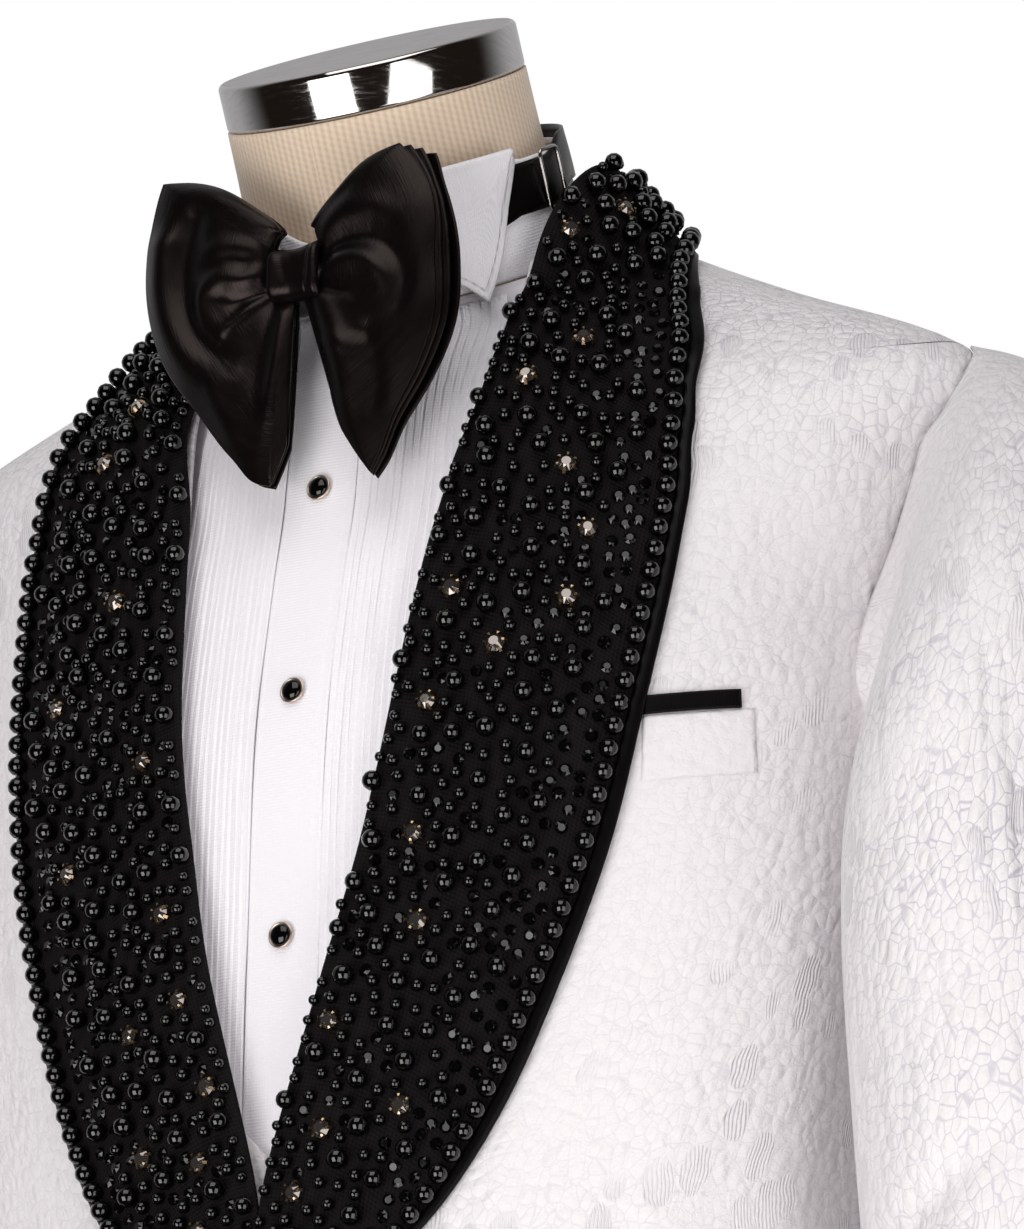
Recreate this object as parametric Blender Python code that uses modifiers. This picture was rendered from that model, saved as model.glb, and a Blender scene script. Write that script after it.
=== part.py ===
"""A tuxedo on a limbless dress form: dinner jacket with a beaded shawl collar, waistcoat, pleated shirt,
large bow tie and trousers, on a knit-covered torso with a neck cap, an off-centre pole and a round base.

Metres, +Z up, the wearer faces -Y and +X is the wearer's left. The middle of the base's underside is the
origin. A place on the torso is given by a turn (0 at the centre front, 90 degrees at the wearer's left,
180 at the centre back) and a level (the height where that girth line crosses the side). Every layer of
cloth is the same torso surface moved out along its normal, so the layers never cross.
"""

import math

import bpy
import bmesh
import numpy as np
from mathutils import Matrix, Vector

# ------------------------------------------------------------------ driving dimensions
SEAM = 0.0003  # open width of a seam, and the seat of a piece that lies on another
SEAM_TURN = 0.0012  # half a seam as a turn of the torso, radians
WALL = 0.0018  # jacquard and lapel cloth with their canvas

# Where each layer's inner face lies above the torso, and its wall.
SHIRT_INNER, SHIRT_WALL = 0.0022, 0.0014
BIB_SEAT, BIB_WALL, PLEAT_RISE = 0.0014, 0.0009, 0.0006
PLACKET_WALL = 0.0022
WAISTCOAT_INNER, WAISTCOAT_EDGE = 0.0078, 0.0016  # and how much more it stands off at its opening
JACKET_INNER = 0.0117
LAPEL_DIP = 0.0034  # the jacket lies this much closer under the fold line, where no waistcoat lifts it
OVERLAP_RISE = 0.0030  # extra height of the wearer's left front where it laps over the right one
TROUSER_INNER, TROUSER_WALL = 0.0030, 0.0016
# The form is smaller than the torso surface where cloth hides it: level and inset.
FORM_INSET = ((0.7, 1.28, 1.36, 1.41, 1.44, 1.46, 1.6), (0.004, 0.005, 0.011, 0.011, 0.005, 0.0, 0.0))

# Girth lines of the torso: heights at side, front and back, half width, depths, the middle's y, and the
# power that rounds the front half (2 is an ellipse, 1 is two straight slopes).
GIRTH_COLUMNS = ("level", "front_z", "back_z", "half_width", "front", "back", "mid_y", "power")
GIRTHS = (
    (0.700, 0.700, 0.700, 0.1635, 0.1165, 0.117, 0.000, 2.08),
    (0.790, 0.790, 0.790, 0.1685, 0.1185, 0.120, 0.000, 2.08),
    (0.900, 0.900, 0.900, 0.1725, 0.1205, 0.120, 0.000, 2.08),
    (0.990, 0.990, 0.990, 0.1645, 0.1195, 0.105, 0.000, 2.08),
    (1.080, 1.080, 1.080, 0.1565, 0.1185, 0.093, 0.000, 2.08),
    (1.180, 1.180, 1.180, 0.1655, 0.1150, 0.107, 0.000, 2.05),
    (1.270, 1.270, 1.270, 0.1725, 0.1095, 0.117, 0.000, 1.98),
    (1.330, 1.325, 1.335, 0.1825, 0.0985, 0.117, 0.000, 1.82),
    (1.375, 1.358, 1.380, 0.2010, 0.0905, 0.107, 0.000, 1.55),
    (1.402, 1.386, 1.412, 0.2130, 0.0870, 0.093, 0.000, 1.30),
    (1.430, 1.408, 1.440, 0.1455, 0.0830, 0.079, -0.003, 1.25),
    (1.450, 1.424, 1.468, 0.0985, 0.0720, 0.061, -0.010, 1.40),
)
ROUNDED = 0.10  # softens the peaks of those curves at the centre front and the side

# The neck leans forward: its axis starts inside the collar.
NECK_LEAN = math.radians(27)
NECK_FOOT_Y, NECK_FOOT_Z = -0.0187, 1.4544
NECK_COLUMNS = ("along", "radius")
NECK = ((0.012, 0.0640), (0.030, 0.0600), (0.055, 0.0585), (0.0815, 0.0580))
CAP_RADIUS, CAP_FOOT, CAP_HEIGHT, CAP_BEVEL = 0.0578, 0.0818, 0.0182, 0.0016

TORSO_FOOT = 0.822
POLE_X, POLE_RADIUS = -0.088, 0.0125
BASE_RADIUS, BASE_HEIGHT, BASE_BEVEL = 0.190, 0.018, 0.004

# Cutting lines. The layers share their levels, so that their facets lie one over another.
SIDE_SEAM = math.radians(98)
NECKLINE = 1.4600
HEM = 0.735
ARM_LEVEL, ARM_HALF, ARM_FRONT, ARM_BACK = 1.328, 0.0765, -0.024, 0.050
ARM_FOOT, ARM_TOP = ARM_LEVEL - ARM_HALF, ARM_LEVEL + ARM_HALF
YOKE_LEVELS = (ARM_FOOT, 1.262, 1.285, 1.322, 1.355, 1.380, 1.395, ARM_TOP, 1.418, 1.432, 1.446)
UNDER_LEVELS = (ARM_FOOT, 1.262, 1.285, 1.322, 1.380, ARM_TOP, 1.432, 1.446)  # for the layers beneath
SHIRT_FOOT, WAIST_TOP = 1.0485, 1.0480
WAISTCOAT_FOOT = 0.985

# Shirt front.
SHIRT_LEVELS = (SHIRT_FOOT, 1.10, 1.17, *UNDER_LEVELS, NECKLINE)
BIB_LEVELS = (1.10, 1.17, ARM_FOOT, 1.285, 1.322, 1.380, ARM_TOP, 1.432, 1.446)
PLEATS, PLEAT_PITCH, PLEAT_EDGE, PLACKET_HALF = 15, 0.0030, 0.0005, 0.0150
STUD_LEVELS = (1.3790, 1.2805, 1.1880)
STUD_RADIUS, STUD_HEIGHT, STUD_RIM = 0.0050, 0.0032, 0.0004
COLLAR_WALL, COLLAR_TOP, COLLAR_EASE = 0.0016, 0.0550, 0.0068
COLLAR_ALONG = (0.0185, 0.036, COLLAR_TOP)  # rows of the collar stand
COLLAR_COLUMNS, COLLAR_GAP = 27, 0.005
BUTTON_ALONG = 0.0150

# A wing of the collar: how far down it reaches at each turn (degrees), measured along the neck.
WING_COLUMNS = ("turn", "low")
WING = ((14.0, 0.036), (30.0, 0.022), (41.0, 0.0120), (46.0, 0.0050), (50.0, 0.0120), (57.0, 0.0260),
        (68.0, 0.0520))

# Shawl collar: edge rows on the front, by level and distance from the centre.
LAPEL_FRONT_COLUMNS = ("inner_level", "inner_x", "outer_level", "outer_x")
LAPEL_FRONT = (
    (1.044, 0.0006, 1.040, 0.0120),
    (1.062, 0.0006, 1.058, 0.0440),
    (1.084, 0.0008, 1.077, 0.0640),
    (1.107, 0.0062, 1.098, 0.0780),
    (1.134, 0.0138, 1.125, 0.0915),
    (1.163, 0.0223, 1.155, 0.1027),
    (1.192, 0.0300, 1.186, 0.1128),
    (1.222, 0.0370, 1.218, 0.1216),
    (1.253, 0.0432, 1.250, 0.1274),
    (1.286, 0.0475, 1.284, 0.1328),
    (1.319, 0.0510, 1.318, 0.1372),
    (1.350, 0.0544, 1.350, 0.1400),
    (1.380, 0.0572, 1.378, 0.1405),
    (1.408, 0.0606, 1.400, 0.1378),
    (1.432, 0.0650, 1.4185, 0.1320),
)
# Then over the shoulder and round the neck, by turn (degrees), level, and how far the fold line stands up.
LAPEL_NECK_COLUMNS = ("inner_turn", "inner_level", "stand", "outer_turn", "outer_level")
LAPEL_NECK = (
    (50.0, 1.4545, 0.004, 75.2, 1.4344),
    (68.0, 1.4590, 0.018, 86.8, 1.4460),
    (86.0, 1.4600, 0.027, 97.0, 1.4490),
    (110.0, 1.4600, 0.012, 113.0, 1.4500),
    (145.0, 1.4610, 0.006, 146.5, 1.4480),
    (179.8, 1.4610, 0.004, 179.8, 1.4460),
)
LAPEL_LOW, LAPEL_ROLL = 0.0010, 0.0034  # seat of its outer edge and rise of its roll above the jacket
BEAD_PITCH, BEAD_RISE, BEAD_WIDTH = 0.0088, 0.0066, 0.0078
BEAD_ROW_AT, BEAD_STRIP_WALL = 0.895, 0.0010  # row's place from fold line (0) to outer edge (1)
SCATTER_TRIES, SCATTER_BEADS, SCATTER_SEED = 400, 26, 7

# Breast pocket, by distance from the centre and level at its inner end; it slants up to the armhole.
WELT = ((0.1326, 0.1595), (1.2352, 1.2595))
TRIM = ((0.1326, 0.1563), (1.2600, 1.2668))
POCKET_SLANT = 0.17

# Sleeve rings: over and under points of each ring (x, z), half depth and middle y.
SLEEVE_COLUMNS = ("over_x", "over_z", "under_x", "under_z", "half_depth", "mid_y")
SLEEVE = (
    (0.2400, 1.401, 0.1985, 1.2440, 0.0500, 0.0030),
    (0.2640, 1.386, 0.2000, 1.2360, 0.0620, -0.0100),
    (0.2890, 1.353, 0.2005, 1.2220, 0.0735, -0.0250),
    (0.3080, 1.305, 0.2005, 1.2000, 0.0805, -0.0365),
    (0.3170, 1.240, 0.2005, 1.1650, 0.0800, -0.0410),
    (0.3220, 1.160, 0.2030, 1.1100, 0.0750, -0.0430),
    (0.3250, 1.065, 0.2090, 1.0400, 0.0695, -0.0465),
    (0.3240, 0.930, 0.2220, 0.9250, 0.060, -0.054),
    (0.3200, 0.792, 0.2310, 0.7920, 0.054, -0.070),
)

# Trouser leg sections below the fork: height, middle x and y, half width and half depth.
LEG_COLUMNS = ("z", "mid_x", "mid_y", "half_x", "half_y")
LEG = (
    (0.757, 0.0885, 0.001, 0.0845, 0.1030),
    (0.690, 0.0900, 0.000, 0.0810, 0.0960),
    (0.600, 0.0920, -0.002, 0.0770, 0.0900),
    (0.480, 0.0940, -0.004, 0.0720, 0.0830),
    (0.300, 0.0940, -0.002, 0.0650, 0.0740),
    (0.150, 0.0930, 0.002, 0.0610, 0.0690),
    (0.045, 0.0920, 0.004, 0.0590, 0.0670),
)
SEAT_LEVELS = (1.018, 0.960, 0.890, 0.830, 0.800)
FORK_ROWS = ((0.783, 0.33), (0.768, 0.66))  # height and share of the way from seat to leg section
FORK_X = 0.0022

# Bow tie, in its own plane in front of the collar: a loop's outline by angle and distance from the knot.
KNOT = (0.0, -0.1078, 1.4445)
KNOT_SIZE = (0.0196, 0.0262, 0.0204)
BOW_Y = -0.1120
LOOP_COLUMNS = ("angle", "near", "far")
LOOP_LEFT = (
    (62.0, 0.0150, 0.0170),
    (55.0, 0.0150, 0.0330),
    (48.0, 0.0140, 0.0490),
    (40.0, 0.0130, 0.0630),
    (18.0, 0.0115, 0.0640),
    (-5.0, 0.0110, 0.0675),
    (-25.0, 0.0115, 0.0725),
    (-42.0, 0.0125, 0.0760),
    (-56.0, 0.0135, 0.0805),
    (-66.0, 0.0140, 0.0900),
    (-72.0, 0.0145, 0.0915),
    (-76.0, 0.0145, 0.0500),
)
LOOP_RIGHT = (
    (64.0, 0.0150, 0.0170),
    (54.0, 0.0150, 0.0300),
    (47.0, 0.0140, 0.0500),
    (35.0, 0.0130, 0.0705),
    (17.0, 0.0115, 0.0660),
    (-5.0, 0.0110, 0.0640),
    (-28.0, 0.0120, 0.0640),
    (-50.0, 0.0135, 0.0660),
    (-68.0, 0.0140, 0.0750),
    (-78.0, 0.0145, 0.0825),
    (-84.0, 0.0145, 0.0840),
    (-87.0, 0.0145, 0.0500),
)
LOOP_WALL, LOOP_PUFF_FRONT, LOOP_PUFF_BACK = 0.0013, 0.0095, 0.0035
STRAP_WALL, STRAP_HALF, STRAP_FRONT, STRAP_BACK = 0.0012, 0.0095, 0.0280, 0.0410
SLIDER_TURN, SLIDER_WIRE, SLIDER_HALF = math.radians(84), 0.0008, (0.0062, 0.0118)

COLLECTION = "tuxedo_on_dress_form"

# ------------------------------------------------------------------ materials
FINISHES = {
    "jacquard": ((0.86, 0.84, 0.85), 0.45, 0.0),
    "lapel_cloth": ((0.012, 0.012, 0.014), 0.55, 0.0),
    "beads": ((0.006, 0.006, 0.006), 0.12, 0.0),
    "shirting": ((0.84, 0.82, 0.84), 0.60, 0.0),
    "satin": ((0.010, 0.009, 0.010), 0.28, 0.0),
    "enamel": ((0.006, 0.006, 0.006), 0.10, 0.0),
    "pearl": ((0.80, 0.78, 0.80), 0.25, 0.0),
    "wire": ((0.70, 0.70, 0.72), 0.20, 1.0),
    "knit": ((0.67, 0.55, 0.38), 0.85, 0.0),
    "polished_steel": ((0.75, 0.75, 0.76), 0.12, 1.0),
    "black_wool": ((0.012, 0.012, 0.014), 0.75, 0.0),
}


def finish(name):
    """The material of that name, a Principled BSDF made once."""
    made = bpy.data.materials.get(name)
    if made:
        return made
    colour, roughness, metallic = FINISHES[name]
    made = bpy.data.materials.new(name)
    made.use_nodes = True
    shader = made.node_tree.nodes["Principled BSDF"]
    shader.inputs["Base Color"].default_value = (*colour, 1.0)
    shader.inputs["Roughness"].default_value = roughness
    shader.inputs["Metallic"].default_value = metallic
    made.diffuse_color = (*colour, 1.0)
    return made


def add_object(name, mesh, material):
    """Put a mesh in the part's collection as a named object."""
    made = bpy.data.objects.new(name, mesh)
    mesh.materials.append(finish(material))
    bpy.data.collections[COLLECTION].objects.link(made)
    return made


# ------------------------------------------------------------------ tables and curves
def column(rows, names, wanted):
    """One named column of a table as an array."""
    return np.array([row[names.index(wanted)] for row in rows], float)


def smooth(xs, ys, at):
    """Cubic curve through the points (xs, ys), read at the values at."""
    xs, ys = np.asarray(xs, float), np.asarray(ys, float)
    at = np.clip(at, xs[0], xs[-1])
    slope = np.gradient(ys, xs)
    k = np.clip(np.searchsorted(xs, at) - 1, 0, len(xs) - 2)
    step = xs[k + 1] - xs[k]
    t = (at - xs[k]) / step
    start = (2 * t**3 - 3 * t**2 + 1) * ys[k] + (t**3 - 2 * t**2 + t) * step * slope[k]
    return start + (3 * t**2 - 2 * t**3) * ys[k + 1] + (t**3 - t**2) * step * slope[k + 1]


def neck_girths():
    """The leaning neck's rings in the girth table's own columns."""
    rows = []
    for along, radius in NECK:
        level = NECK_FOOT_Z + along * math.cos(NECK_LEAN)
        mid_y = NECK_FOOT_Y - along * math.sin(NECK_LEAN)
        dip = radius * math.sin(NECK_LEAN)
        depth = radius * math.cos(NECK_LEAN)
        rows.append((level, level - dip, level + dip, radius, depth, depth, mid_y, 2.0))
    return tuple(rows)


ALL_GIRTHS = GIRTHS + neck_girths()
LEVELS = column(ALL_GIRTHS, GIRTH_COLUMNS, "level")


def girth(name, level):
    """A girth column read at any level."""
    return smooth(LEVELS, column(ALL_GIRTHS, GIRTH_COLUMNS, name), level)


# ------------------------------------------------------------------ the torso surface
def skin(turn, level):
    """Point of the bare torso surface at a turn (radians) and a level."""
    turn, level = np.broadcast_arrays(np.asarray(turn, float), np.asarray(level, float))
    c, s = np.cos(turn), np.sin(turn)
    power = girth("power", level)
    power = np.where(c > 0, power, (power + 4.0) / 3)
    soft_c, soft_s = ((np.sqrt(v * v + ROUNDED**2) - ROUNDED) / (math.hypot(1, ROUNDED) - ROUNDED)
                      for v in (c, s))
    round_swell = (soft_c**2 + soft_s**2) ** 0.5
    swell = round_swell / (soft_c**power + soft_s**power) ** (1 / power)
    depth = np.where(c > 0, girth("front", level), girth("back", level))
    front_z, back_z = girth("front_z", level), girth("back_z", level)
    tilt, dip = (front_z - back_z) / 2, (front_z + back_z) / 2 - level
    x = girth("half_width", level) * s * swell
    y = girth("mid_y", level) - depth * c * swell
    return np.stack([x, y, level + tilt * c + dip * c * c], -1)


def outward(turn, level):
    """Unit normal of the torso surface, from its two slopes."""
    d = 0.004
    across = skin(turn + d, level) - skin(turn - d, level)
    up = skin(turn, np.minimum(level + d, LEVELS[-1])) - skin(turn, np.maximum(level - d, LEVELS[0]))
    normal = np.cross(across, up)
    return normal / np.linalg.norm(normal, axis=-1, keepdims=True)


def body(turn, level, out):
    """Point at a turn and a level, moved out from the torso along its normal."""
    turn, level, out = np.broadcast_arrays(*(np.asarray(v, float) for v in (turn, level, out)))
    return skin(turn, level) + outward(turn, level) * out[..., None]


def turn_at(axis, wanted, level, out, low, high):
    """Turn where the surface has a wanted x (axis 0) or y (axis 1), by halving the range 40 times."""
    level, wanted = np.broadcast_arrays(np.asarray(level, float), np.asarray(wanted, float))
    low, high = np.full(level.shape, low), np.full(level.shape, high)
    for _ in range(40):
        middle = (low + high) / 2
        short = body(middle, level, out)[..., axis] < wanted
        low, high = np.where(short, middle, low), np.where(short, high, middle)
    return (low + high) / 2


def turn_at_x(x, level, out):
    """Turn on the front where the surface lies x from the centre; negative x gives a negative turn."""
    return np.sign(x) * turn_at(0, np.abs(x), level, out, 0.0, math.pi / 2)


def armhole_y(level, edge):
    """The armhole is an oval seen from the side; edge is the y of its front or back extreme."""
    rise = np.clip((level - ARM_LEVEL) / ARM_HALF, -1, 1)
    middle = (ARM_FRONT + ARM_BACK) / 2
    return middle + (edge - middle) * np.sqrt(1 - rise**2)


def armhole_turn(level, edge, out):
    """Turn of the armhole's front or back edge at each level within it."""
    return turn_at(1, armhole_y(level, edge), level, out, math.radians(20), math.radians(165))


def step(value):
    """Soft step from 0 to 1 as the value goes from 0 to 1."""
    value = np.clip(value, 0, 1)
    return value**2 * (3 - 2 * value)


def jacket_ease(turn, level):
    """How far the jacket stands off more at the sides than the other layers, and less at the fold line."""
    side = smooth((0.70, 0.90, 1.00, 1.08, 1.18, 1.27, 1.34, 1.53),
                  (0.012, 0.007, 0.007, 0.008, 0.007, 0.004, 0.0, 0.0), level)
    x = np.abs(skin(turn, level)[..., 0])
    dip = LAPEL_DIP * step((0.085 - x) / 0.030) * step((level - 1.17) / 0.06) * (np.cos(turn) > 0)
    return side * np.sin(turn) ** 2 - dip * step((1.458 - level) / 0.012)


# ------------------------------------------------------------------ walls
def zip_strip(a, b, points, faces):
    """Triangles between two rows of points that may differ in number."""
    def shares(row):
        lengths = np.linalg.norm(np.diff(points[row], axis=0), axis=1)
        return np.r_[0, np.cumsum(lengths)] / max(lengths.sum(), 1e-9)
    share_a, share_b = shares(a), shares(b)
    i = j = 0
    while i < len(a) - 1 or j < len(b) - 1:
        if j == len(b) - 1 or (i < len(a) - 1 and share_a[i + 1] <= share_b[j + 1]):
            faces.append((a[i], a[i + 1], b[j]))
            i += 1
        else:
            faces.append((a[i], b[j + 1], b[j]))
            j += 1


def quads(index, skip=()):
    """Quads of a grid of point numbers, without the cells to skip."""
    rows, columns = index.shape
    return [(index[r, c], index[r, c + 1], index[r + 1, c + 1], index[r + 1, c])
            for r in range(rows - 1) for c in range(columns - 1) if (r, c) not in skip]


def raised_bead(corners, share, top_share, rise, points, faces):
    """A bead raised on one cell: a four-sided stud with a flat top. share is the width of its foot and
    top_share the width of its top, as parts of the cell; a foot as wide as the cell uses its corners."""
    cell = np.array([points[i] for i in corners])
    middle = cell.mean(0)
    normal = np.cross(cell[2] - cell[0], cell[3] - cell[1])
    normal /= np.linalg.norm(normal)
    foot = list(corners)
    if share < 1:
        foot = list(range(len(points), len(points) + 4))
        points.extend(middle + (cell - middle) * share)
        faces.extend((corners[k], corners[(k + 1) % 4], foot[(k + 1) % 4], foot[k]) for k in range(4))
    top = list(range(len(points), len(points) + 4))
    points.extend(middle + (cell - middle) * top_share + normal * rise)
    faces.extend((foot[k], foot[(k + 1) % 4], top[(k + 1) % 4], top[k]) for k in range(4))
    faces.append(tuple(top))


def mesh_object(name, points, faces, material):
    """A mesh with its faces turned outwards, shaded smooth, as a named object."""
    mesh = bpy.data.meshes.new(name)
    mesh.from_pydata([tuple(float(v) for v in point) for point in points], [],
                     [tuple(int(i) for i in face) for face in faces])
    work = bmesh.new()
    work.from_mesh(mesh)
    bmesh.ops.recalc_face_normals(work, faces=work.faces)
    work.to_mesh(mesh)
    work.free()
    mesh.shade_smooth()
    return add_object(name, mesh, material)


def wall(name, inner, outer, material, ring=False, beads=None):
    """Closed wall between an inner and an outer grid (rows, columns, 3); ring joins the last column to
    the first. The grids may differ in number of points, and the rims are zipped between them. beads
    gives (foot share, top share, rise) for each cell of the outer grid that carries a raised bead."""
    beads = beads or {}
    points = [*inner.reshape(-1, 3), *outer.reshape(-1, 3)]
    inside = np.arange(inner[..., 0].size).reshape(inner.shape[:2])
    outside = inside.size + np.arange(outer[..., 0].size).reshape(outer.shape[:2])
    if ring:
        inside = np.hstack([inside, inside[:, :1]])
        outside = np.hstack([outside, outside[:, :1]])
    faces = quads(inside) + quads(outside, beads)
    flat = np.array(points)
    zip_strip(inside[0], outside[0], flat, faces)
    zip_strip(inside[-1], outside[-1], flat, faces)
    if not ring:
        zip_strip(inside[:, 0], outside[:, 0], flat, faces)
        zip_strip(inside[:, -1], outside[:, -1], flat, faces)
    for (r, c), (share, top_share, rise) in beads.items():
        corners = (outside[r, c], outside[r, c + 1], outside[r + 1, c + 1], outside[r + 1, c])
        raised_bead(corners, share, top_share, rise, points, faces)
    return mesh_object(name, points, faces, material)


def mirrored(grid):
    """The same grid on the wearer's other side."""
    other = grid[:, ::-1].copy()
    other[..., 0] *= -1
    return other


def both_sides(name, inner, outer, material, ring=False, beads=None):
    """The wearer's left piece and its mirror image on the right."""
    wall(name + "_left", inner, outer, material, ring, beads)
    last = outer.shape[1] - 2
    swapped = {(r, last - c): size for (r, c), size in (beads or {}).items()}
    wall(name + "_right", mirrored(inner), mirrored(outer), material, ring, swapped)


def turned(name, profile, centre, axis, material, steps):
    """A turned piece: profile (radius, height) from top to bottom, stood on an axis at a centre."""
    mesh = bpy.data.meshes.new(name)
    mesh.from_pydata([(r, 0.0, h) for r, h in profile], [(i, i + 1) for i in range(len(profile) - 1)], [])
    made = add_object(name, mesh, material)
    screw = made.modifiers.new("turn", "SCREW")
    screw.steps = steps
    screw.render_steps = steps
    screw.use_merge_vertices = True
    screw.merge_threshold = 0.00001
    screw.use_smooth_shade = True
    made.location = centre
    made.rotation_mode = "QUATERNION"
    made.rotation_quaternion = Vector(axis).to_track_quat("Z", "Y")
    return made


# ------------------------------------------------------------------ dress form
NECK_AXIS = (0.0, -math.sin(NECK_LEAN), math.cos(NECK_LEAN))
UP = (0.0, 0.0, 1.0)


def neck_point(along, radius, turn):
    """Point round the leaning neck's axis, at a distance along it and a radius."""
    along, radius, turn = np.broadcast_arrays(*(np.asarray(v, float) for v in (along, radius, turn)))
    lean_c, lean_s = math.cos(NECK_LEAN), math.sin(NECK_LEAN)
    x = radius * np.sin(turn)
    y = NECK_FOOT_Y - along * lean_s - radius * lean_c * np.cos(turn)
    z = NECK_FOOT_Z + along * lean_c - radius * lean_s * np.cos(turn)
    return np.stack([x, y, z], -1)


def build_form():
    """Torso and neck in one closed body, then cap, pole and base."""
    columns = 24
    levels = np.array((TORSO_FOOT, 0.900, 0.990, 1.080, 1.180, 1.270, 1.330, 1.375, 1.402, 1.430, 1.450,
                       *LEVELS[-4:]))
    turns = np.arange(columns) * 2 * math.pi / columns
    inset = np.interp(levels, *FORM_INSET)
    rings = body(turns[None, :], levels[:, None], -inset[:, None])
    rings[0, :, 2] = TORSO_FOOT
    index = np.arange(len(levels) * columns).reshape(len(levels), columns)
    faces = quads(np.hstack([index, index[:, :1]]))
    faces.append(tuple(index[0]))
    faces.append(tuple(index[-1]))
    mesh_object("form_torso", rings.reshape(-1, 3), faces, "knit")

    profile = ((0.0, CAP_HEIGHT), (CAP_RADIUS - CAP_BEVEL, CAP_HEIGHT), (CAP_RADIUS, CAP_HEIGHT - CAP_BEVEL),
               (CAP_RADIUS, CAP_BEVEL), (CAP_RADIUS - CAP_BEVEL, 0.0), (0.0, 0.0))
    turned("form_neck_cap", profile, neck_point(CAP_FOOT, 0.0, 0.0), NECK_AXIS, "polished_steel", 28)
    foot = BASE_HEIGHT + SEAM
    length = TORSO_FOOT - SEAM - foot
    profile = ((0.0, length), (POLE_RADIUS, length), (POLE_RADIUS, 0.0), (0.0, 0.0))
    turned("form_pole", profile, (POLE_X, 0.0, foot), UP, "polished_steel", 12)
    profile = ((0.0, BASE_HEIGHT), (BASE_RADIUS - BASE_BEVEL, BASE_HEIGHT), (BASE_RADIUS, BASE_HEIGHT - BASE_BEVEL),
               (BASE_RADIUS, 0.0), (0.0, 0.0))
    turned("form_base", profile, (0.0, 0.0, 0.0), UP, "polished_steel", 36)


# ------------------------------------------------------------------ panels on the torso
def panel(levels, near, far, columns, out):
    """Grid of points between two cutting lines, given as turns for each level."""
    share = np.linspace(0, 1, columns)[None, :]
    turns = near[:, None] * (1 - share) + far[:, None] * share
    level = np.broadcast_to(np.asarray(levels, float)[:, None], turns.shape)
    return body(turns, level, out(turns, level))


def limit(levels, armhole_edge, gap):
    """Cutting line down the side: shoulder seam, the armhole's front or back edge, then the side seam."""
    levels = np.asarray(levels, float)
    armhole = armhole_turn(levels, armhole_edge, JACKET_INNER)
    inside = np.abs(levels - ARM_LEVEL) < ARM_HALF - 1e-9
    seam = np.where(levels < ARM_LEVEL, SIDE_SEAM, math.pi / 2)
    return np.where(inside, armhole, seam) + gap


def front_limit(levels):
    """Where a front ends at the side."""
    return limit(levels, ARM_FRONT, -SEAM_TURN)


def back_limit(levels):
    """Where a back starts at the side."""
    return limit(levels, ARM_BACK, SEAM_TURN)


def layer(height, ease=None):
    """Height function of a face of a layer above the torso."""
    def out(turn, level):
        return height + (ease(turn, level) if ease else 0.0 * turn)
    return out


def whole_back(name, levels, columns, inner, thickness, material, ease=None):
    """A back in one piece from side seam to side seam."""
    near = back_limit(levels)
    middle = np.full(len(levels), math.pi)
    faces = [panel(levels, near, middle, columns, layer(height, ease)) for height in (inner, inner + thickness)]
    low, high = (np.concatenate([half, mirrored(half)[:, 1:]], axis=1) for half in faces)
    wall(name, low, high, material)


# ------------------------------------------------------------------ shirt
def build_shirt():
    """Fronts, back, pleated bibs and placket."""
    levels = np.array(SHIRT_LEVELS)
    near = turn_at_x(np.full(levels.shape, SEAM), levels, SHIRT_INNER)
    far = front_limit(levels)
    both_sides("shirt_front", panel(levels, near, far, 8, layer(SHIRT_INNER)),
               panel(levels, near, far, 8, layer(SHIRT_INNER + SHIRT_WALL)), "shirting")
    whole_back("shirt_back", (SHIRT_FOOT, 1.08, 1.13, 1.19, *UNDER_LEVELS, NECKLINE), 5, SHIRT_INNER,
               SHIRT_WALL, "shirting")

    bib_low = SHIRT_INNER + SHIRT_WALL + BIB_SEAT
    levels = np.array(BIB_LEVELS)
    starts = PLACKET_HALF + 2 * SEAM + PLEAT_PITCH * np.arange(PLEATS)
    x = np.r_[np.stack([starts, starts + PLEAT_EDGE], 1).reshape(-1), starts[-1] + PLEAT_PITCH]
    rise = np.r_[np.tile((0.0, PLEAT_RISE), PLEATS), 0.0]
    outer = body(turn_at_x(x[None, :], levels[:, None], bib_low), levels[:, None], bib_low + BIB_WALL + rise)
    plain = np.linspace(x[0], x[-1], 7)
    inner = body(turn_at_x(plain[None, :], levels[:, None], bib_low), levels[:, None], bib_low)
    both_sides("shirt_bib", inner, outer, "shirting")

    levels = np.array(SHIRT_LEVELS)
    x = np.linspace(-PLACKET_HALF, PLACKET_HALF, 4)
    placket_low = SHIRT_INNER + SHIRT_WALL + SEAM
    turns = turn_at_x(x[None, :], levels[:, None], placket_low)
    wall("shirt_placket", body(turns, levels[:, None], placket_low),
         body(turns, levels[:, None], placket_low + PLACKET_WALL), "shirting")

    for number, level in enumerate(STUD_LEVELS, 1):
        seat = placket_low + PLACKET_WALL + 2 * SEAM
        profile = ((0.0, STUD_HEIGHT), (STUD_RADIUS * 0.55, STUD_HEIGHT * 0.86), (STUD_RADIUS * 0.86, STUD_HEIGHT * 0.5),
                   (STUD_RADIUS, STUD_RIM * 2), (STUD_RADIUS, 0.0), (0.0, 0.0))
        turned(f"stud_{number}", profile, body(0.0, level, seat), outward(np.array(0.0), np.array(level)),
               "enamel", 14)


def collar_radius(along, turn):
    """Inner radius of the collar stand: it lies against the back of the neck and stands off in front.
    Between its rows it runs straight."""
    table = [column(NECK, NECK_COLUMNS, name) for name in NECK_COLUMNS]
    neck = np.interp(along, COLLAR_ALONG, smooth(*table, COLLAR_ALONG))
    behind = ((1 - np.cos(turn)) / 2) ** 3
    return neck + 2 * SEAM + COLLAR_EASE * (1 - behind)


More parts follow.
